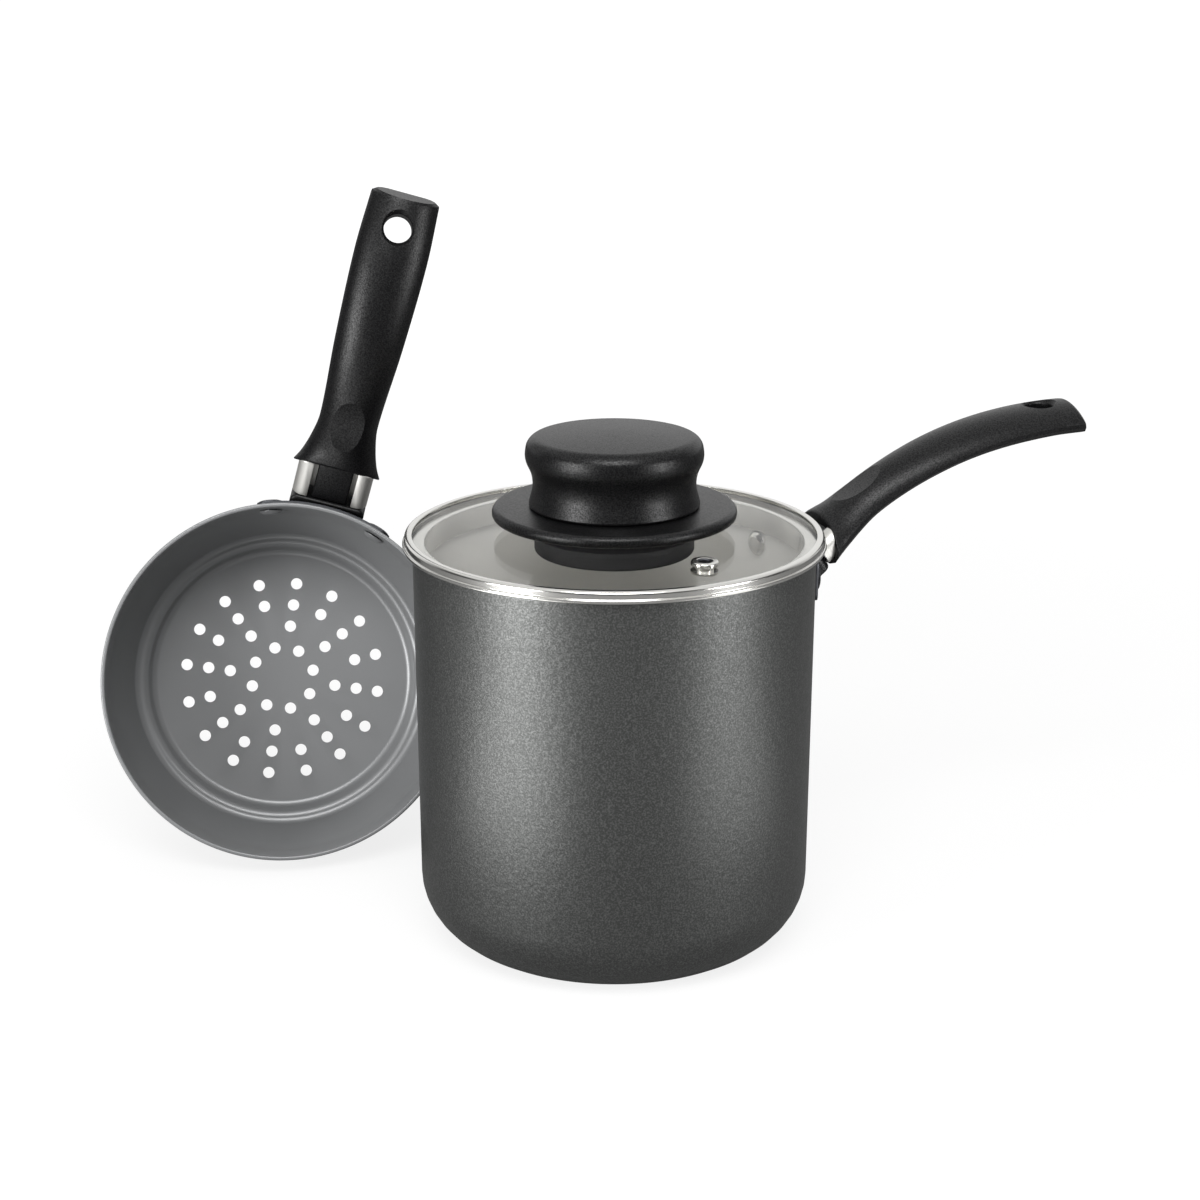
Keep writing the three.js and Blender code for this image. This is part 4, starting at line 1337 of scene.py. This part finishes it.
def steam_vent():
    """A steel eyelet that holds on to the glass from both sides."""
    lid, at = sizes("lid"), lid_measures()
    reach = lid.vent_reach / MM
    slope = math.atan(2 * lid.rise / MM * reach / at.edge**2)
    under = -lid.glass / MM - ROOM
    low = under - VENT_UNDER
    piece = turned(
        "steam-vent",
        [
            (VENT_BORE, low, 0.3), (VENT_FLANGE, low, 0.4), (VENT_FLANGE, under), (VENT_NECK, under),
            (VENT_NECK, ROOM), (VENT_FLANGE, ROOM), (VENT_FLANGE, VENT_TOP, 1),
            (VENT_BORE, VENT_TOP, 0.8),
        ],
        steps=72,
    )
    turn = Matrix.Rotation(lid.vent_azimuth, 4, "Z")
    lift = Matrix.Translation((reach * MM, 0, at.over(reach) * MM))
    place = on_pot() @ turn @ lift @ Matrix.Rotation(slope, 4, "Y")
    settle(piece, place)
    # The bore gets the black-oxide steel as painted shade, so that the hole reads dark.
    dress(piece, "lid", "steam_vent", "bright_steel", bright_steel, blackened_steel)
    back = place.inverted()
    coat_inside(piece, lambda f: (back @ f.calc_center_median()).xy.length < VENT_SHADE_REACH * MM)


class STEAMER_OT_lid(Operator):
    """Models the lid's glass, its steel rim and its steam vent"""

    bl_idname = "steamer.lid"
    bl_label = "Lid"

    def execute(self, context):
        lid_rim()
        lid_pane()
        steam_vent()
        return {"FINISHED"}


# Knob


KNOB_TURNS = 144
BORE = 2.8  # radius of the holes that the knob's screw goes through
SEAL = 26.6
SEAL_HEIGHT = 1
BOSS = 28.6  # radius of the guard's foot on the seal
BOSS_HEIGHT = 2.2
GUARD_HEIGHT = 4.3
KNOB_FOOT = 30.8
KNOB_WAIST = 28.3
POCKET = 5.3  # in the knob, for its insert
POCKET_DEPTH = 13.6
INSERT = 5
BACKING_HEIGHT = 6.4
BACKING_WEB = 1.8  # thickness of the backing over the washer
WELL = 10  # radius of the backing's hollow, which holds the washer
WASHER = 9
WASHER_HEIGHT = 1.2
KNOB_SCREW_HEAD = 5
KNOB_SCREW_HEAD_HEIGHT = 2.8
KNOB_SCREW_SHANK = 2.5
KNOB_SCREW_REACH = 12  # into the knob


class STEAMER_OT_knob(Operator):
    """Models the knob, its finger guard, its seal and what screws them to the glass"""

    bl_idname = "steamer.knob"
    bl_label = "Knob"

    def execute(self, context):
        lid, at = sizes("lid"), lid_measures()
        guard, knob, backing = lid.guard / MM, lid.knob / MM, lid.backing / MM
        seal = at.over(0) + ROOM
        boss = seal + SEAL_HEIGHT + ROOM
        disc = boss + BOSS_HEIGHT
        disc_top = disc + GUARD_HEIGHT
        foot = disc_top + ROOM
        pocket = foot + POCKET_DEPTH
        under = at.under(backing) - ROOM
        backing_low, web = under - BACKING_HEIGHT, under - BACKING_WEB
        washer = web - ROOM
        washer_low = washer - WASHER_HEIGHT
        head = washer_low - ROOM
        head_low, tip = head - KNOB_SCREW_HEAD_HEIGHT, foot + KNOB_SCREW_REACH

        def up(share):
            return foot + share * lid.knob_height / MM

        pieces = (
            ("knob-seal", "knob_gasket", "seal_rubber", seal_rubber,
             [(BORE, seal), (SEAL, seal), (SEAL, seal + SEAL_HEIGHT), (BORE, seal + SEAL_HEIGHT)]),
            ("finger-guard", "knob_guard", "bakelite", moulded_bakelite,
             [(BORE, boss), (BOSS, boss, 0.6), (BOSS, disc, 0.8), (guard, disc, 1.8),
              (guard, disc_top, 2.2), (BORE, disc_top)]),
            # The corners of its head stand out past the radius that their fillets leave.
            ("lid-knob", "lid_knob", "bakelite", moulded_bakelite,
             [(0, pocket), (POCKET, pocket), (POCKET, foot), (KNOB_FOOT, foot, 0.8),
              (KNOB_WAIST, up(0.36), 30), (knob + 0.2, up(0.66), 7), (knob - 0.9, up(0.95), 5),
              (0, up(1.02))]),
            ("knob-insert", "knob_insert", "insert_brass", insert_brass,
             [(BORE, foot + ROOM), (INSERT, foot + ROOM), (INSERT, pocket - ROOM),
              (BORE, pocket - ROOM)]),
            # The backing holds the washer. As a grey-black disc under the glass it is painted shade,
            # standing in for the shade under the finger guard.
            ("knob-backing", "knob_backing", "bakelite", shade_disc_bakelite,
             [(BORE, web), (WELL, web), (WELL, backing_low, 0.4), (backing, backing_low, 1.2),
              (backing, under, 0.5), (BORE, under)]),
            ("knob-washer", "knob_washer", "steel", satin_steel,
             [(BORE, washer_low), (WASHER, washer_low, 0.3), (WASHER, washer, 0.3),
              (BORE, washer)]),
            ("knob-screw", "knob_screw", "steel", satin_steel,
             [(0, head_low), (KNOB_SCREW_HEAD, head_low, 1.5), (KNOB_SCREW_HEAD, head),
              (KNOB_SCREW_SHANK, head), (KNOB_SCREW_SHANK, tip), (0, tip)]),
        )
        for name, node_name, slot, finish, profile in pieces:
            piece = settle(turned(name, profile, steps=KNOB_TURNS), on_pot())
            dress(piece, "lid", node_name, slot, finish)
        return {"FINISHED"}


# Stage


FRAME_WIDTH = 36  # of the camera, in millimetres
FLOOR_SIZE = 60
FLOOR_TONE = 0.18
FLOOR_TONE_IN_MIRRORS = 0.24
AMBIENT = 0.5  # the room's even light
AIM = Vector((0, 0, 0.1))  # the middle of the set, where the lamps point
BOARD_HEIGHT = 0.004
# Soft lamps: the way to each in degrees from the front, its height, distance, width and length
# in metres, and its power in watts. The boards lie on the floor.
LAMPS = {
    "left lamp": (-52, 0.24, 1.1, 0.46, 0.46, 10),
    "right lamp": (62, 0.24, 1.2, 0.38, 0.46, 7),
    "left board": (-52, BOARD_HEIGHT, 0.38, 0.22, 0.4, 0.7),
    "right board": (62, BOARD_HEIGHT, 0.38, 0.2, 0.4, 0.3),
    "top lamp": (0, 1.15, 0.95, 0.9, 0.6, 15),
}


def seen_straight(tree, ray):
    """Whether the camera sees a place, past nothing or through glass."""
    return node(
        tree, "ShaderNodeMath", operation="MAXIMUM",
        links={0: ray.outputs["Is Camera Ray"], 1: ray.outputs["Is Transmission Ray"]},
    )


def floor_paint():
    """Matt paint: pale and even, with the set's soft shadow. Seen straight it is mostly glow,
    which fills up to white away from the set, where the lamps no longer reach. In mirrors it is
    paint alone."""
    made, tree = material("Matt white floor")
    ray = node(tree, "ShaderNodeLightPath")
    seen = seen_straight(tree, ray)
    far = node(tree, "ShaderNodeVectorMath", operation="LENGTH", links={
        0: node(tree, "ShaderNodeTexCoord").outputs["Object"]
    })
    fill = node(
        tree, "ShaderNodeMapRange",
        {"From Min": 0.2, "From Max": 1.6, "To Min": 0.82, "To Max": 1},
        {"Value": far.outputs["Value"]}, interpolation_type="SMOOTHSTEP",
    )
    share = node(
        tree, "ShaderNodeMath", operation="MULTIPLY",
        links={0: seen.outputs[0], 1: fill.outputs[0]},
    )
    tone = node(
        tree, "ShaderNodeMix", {"A": FLOOR_TONE, "B": FLOOR_TONE_IN_MIRRORS},
        {"Factor": ray.outputs["Is Glossy Ray"]},
    )
    paint = node(tree, "ShaderNodeBsdfDiffuse", links={"Color": tone.outputs["Result"]})
    glow = node(
        tree, "ShaderNodeEmission", {"Color": (1, 1, 1, 1)}, {"Strength": share.outputs[0]}
    )
    both = node(tree, "ShaderNodeAddShader", links={0: paint.outputs[0], 1: glow.outputs[0]})
    node(tree, "ShaderNodeOutputMaterial", links={"Surface": both.outputs[0]})
    return made


def studio():
    """The room: white where it is seen straight, and an even soft light on the set. In mirrors it
    is white behind the set and above it, and dim in front of it."""
    world = bpy.data.worlds.new("studio")
    world.use_nodes = True
    tree = world.node_tree
    tree.nodes.clear()
    ray = node(tree, "ShaderNodeLightPath")
    seen = seen_straight(tree, ray)
    way = node(tree, "ShaderNodeSeparateXYZ", links={
        "Vector": node(tree, "ShaderNodeTexCoord").outputs["Generated"]
    })
    behind = node(
        tree, "ShaderNodeMapRange",
        {"From Min": 0.2, "From Max": 0.75, "To Min": 0.06, "To Max": 1},
        {"Value": way.outputs["Y"]},
    )
    above = node(
        tree, "ShaderNodeMapRange",
        {"From Min": 0.4, "From Max": 0.65, "To Min": 0, "To Max": 0.9},
        {"Value": way.outputs["Z"]},
    )
    bright = node(
        tree, "ShaderNodeMath", operation="MAXIMUM",
        links={0: behind.outputs[0], 1: above.outputs[0]},
    )
    mirrored = node(
        tree, "ShaderNodeMath", operation="MULTIPLY",
        links={0: bright.outputs[0], 1: ray.outputs["Is Glossy Ray"]},
    )
    lit = node(
        tree, "ShaderNodeMath", {1: AMBIENT}, {0: ray.outputs["Is Diffuse Ray"]},
        operation="MULTIPLY",
    )
    unseen = node(
        tree, "ShaderNodeMath", operation="MAXIMUM",
        links={0: mirrored.outputs[0], 1: lit.outputs[0]},
    )
    total = node(
        tree, "ShaderNodeMath", operation="MAXIMUM",
        links={0: unseen.outputs[0], 1: seen.outputs[0]},
    )
    sky = node(
        tree, "ShaderNodeBackground", {"Color": (1, 1, 1, 1)}, {"Strength": total.outputs[0]}
    )
    node(tree, "ShaderNodeOutputWorld", links={"Surface": sky.outputs[0]})
    return world


def soft_lamp(name, azimuth, height, distance, wide, tall, power):
    """A lamp that points at the set, or a board that lies on the floor, throws light up and isn't
    seen itself."""
    turn = math.radians(azimuth)
    spot = Vector((distance * math.sin(turn), -distance * math.cos(turn), height))
    bpy.ops.object.light_add(type="AREA", location=spot)
    lamp = bpy.context.object
    lamp.name = name
    lamp.data.shape = "RECTANGLE"
    lamp.data.size, lamp.data.size_y = wide, tall
    lamp.data.energy = power
    if height == BOARD_HEIGHT:
        lamp.rotation_euler = (math.pi, 0, turn)
        lamp.visible_camera = False
    else:
        lamp.rotation_euler = (AIM - spot).to_track_quat("-Z", "Y").to_euler()


class STEAMER_OT_stage(Operator):
    """Sets up the floor, the soft lamps, the background and the camera"""

    bl_idname = "steamer.stage"
    bl_label = "Stage"

    def execute(self, context):
        scene, stage = context.scene, sizes("stage")
        clear()
        bpy.ops.mesh.primitive_plane_add(size=FLOOR_SIZE)
        floor = named("floor")
        floor.data.materials.append(floor_paint())
        for name, settings in LAMPS.items():
            soft_lamp(name, *settings)
        scene.world = studio()

        bpy.ops.object.camera_add(
            location=stage.eye, rotation=(QUARTER_TURN - stage.pitch, 0, stage.yaw)
        )
        camera = bpy.context.object
        camera.data.sensor_width = FRAME_WIDTH
        camera.data.lens = stage.lens
        camera.data.clip_start = 0.01
        scene.camera = camera
        scene.view_settings.view_transform = "Standard"
        return {"FINISHED"}


class STEAMER_PT_panel(Panel):
    """Lists the pieces and the stage"""

    bl_idname = "STEAMER_PT_panel"
    bl_label = "Couscous steamer"
    bl_space_type = "VIEW_3D"
    bl_region_type = "UI"
    bl_category = "Steamer"

    def draw(self, context):
        for operator in OPERATORS:
            self.layout.operator(operator.bl_idname)
        for group in GROUPS:
            box = self.layout.box()
            settings = sizes(group)
            for name in settings.__annotations__:
                box.prop(settings, name)


GROUPS = {
    "pot": PotSizes, "pan": PanSizes, "handle": HandleSizes, "lid": LidSizes,
    "colours": Colours, "stage": StageSizes,
}
OPERATORS = (
    STEAMER_OT_pot, STEAMER_OT_pan, STEAMER_OT_handles, STEAMER_OT_sleeves, STEAMER_OT_feet,
    STEAMER_OT_brackets, STEAMER_OT_lid, STEAMER_OT_knob, STEAMER_OT_stage,
)


def register():
    for made in (*GROUPS.values(), *OPERATORS, STEAMER_PT_panel):
        bpy.utils.register_class(made)
    for name, made in GROUPS.items():
        setattr(bpy.types.Scene, "steamer_" + name, PointerProperty(type=made))


def unregister():
    for name in GROUPS:
        delattr(bpy.types.Scene, "steamer_" + name)
    for made in reversed((*GROUPS.values(), *OPERATORS, STEAMER_PT_panel)):
        bpy.utils.unregister_class(made)


def main():
    register()
    bpy.ops.steamer.pot()
    bpy.ops.steamer.pan()
    bpy.ops.steamer.handles()
    bpy.ops.steamer.sleeves()
    bpy.ops.steamer.feet()
    bpy.ops.steamer.brackets()
    bpy.ops.steamer.lid()
    bpy.ops.steamer.knob()
    bpy.ops.steamer.stage()


if __name__ == "__main__":
    main()
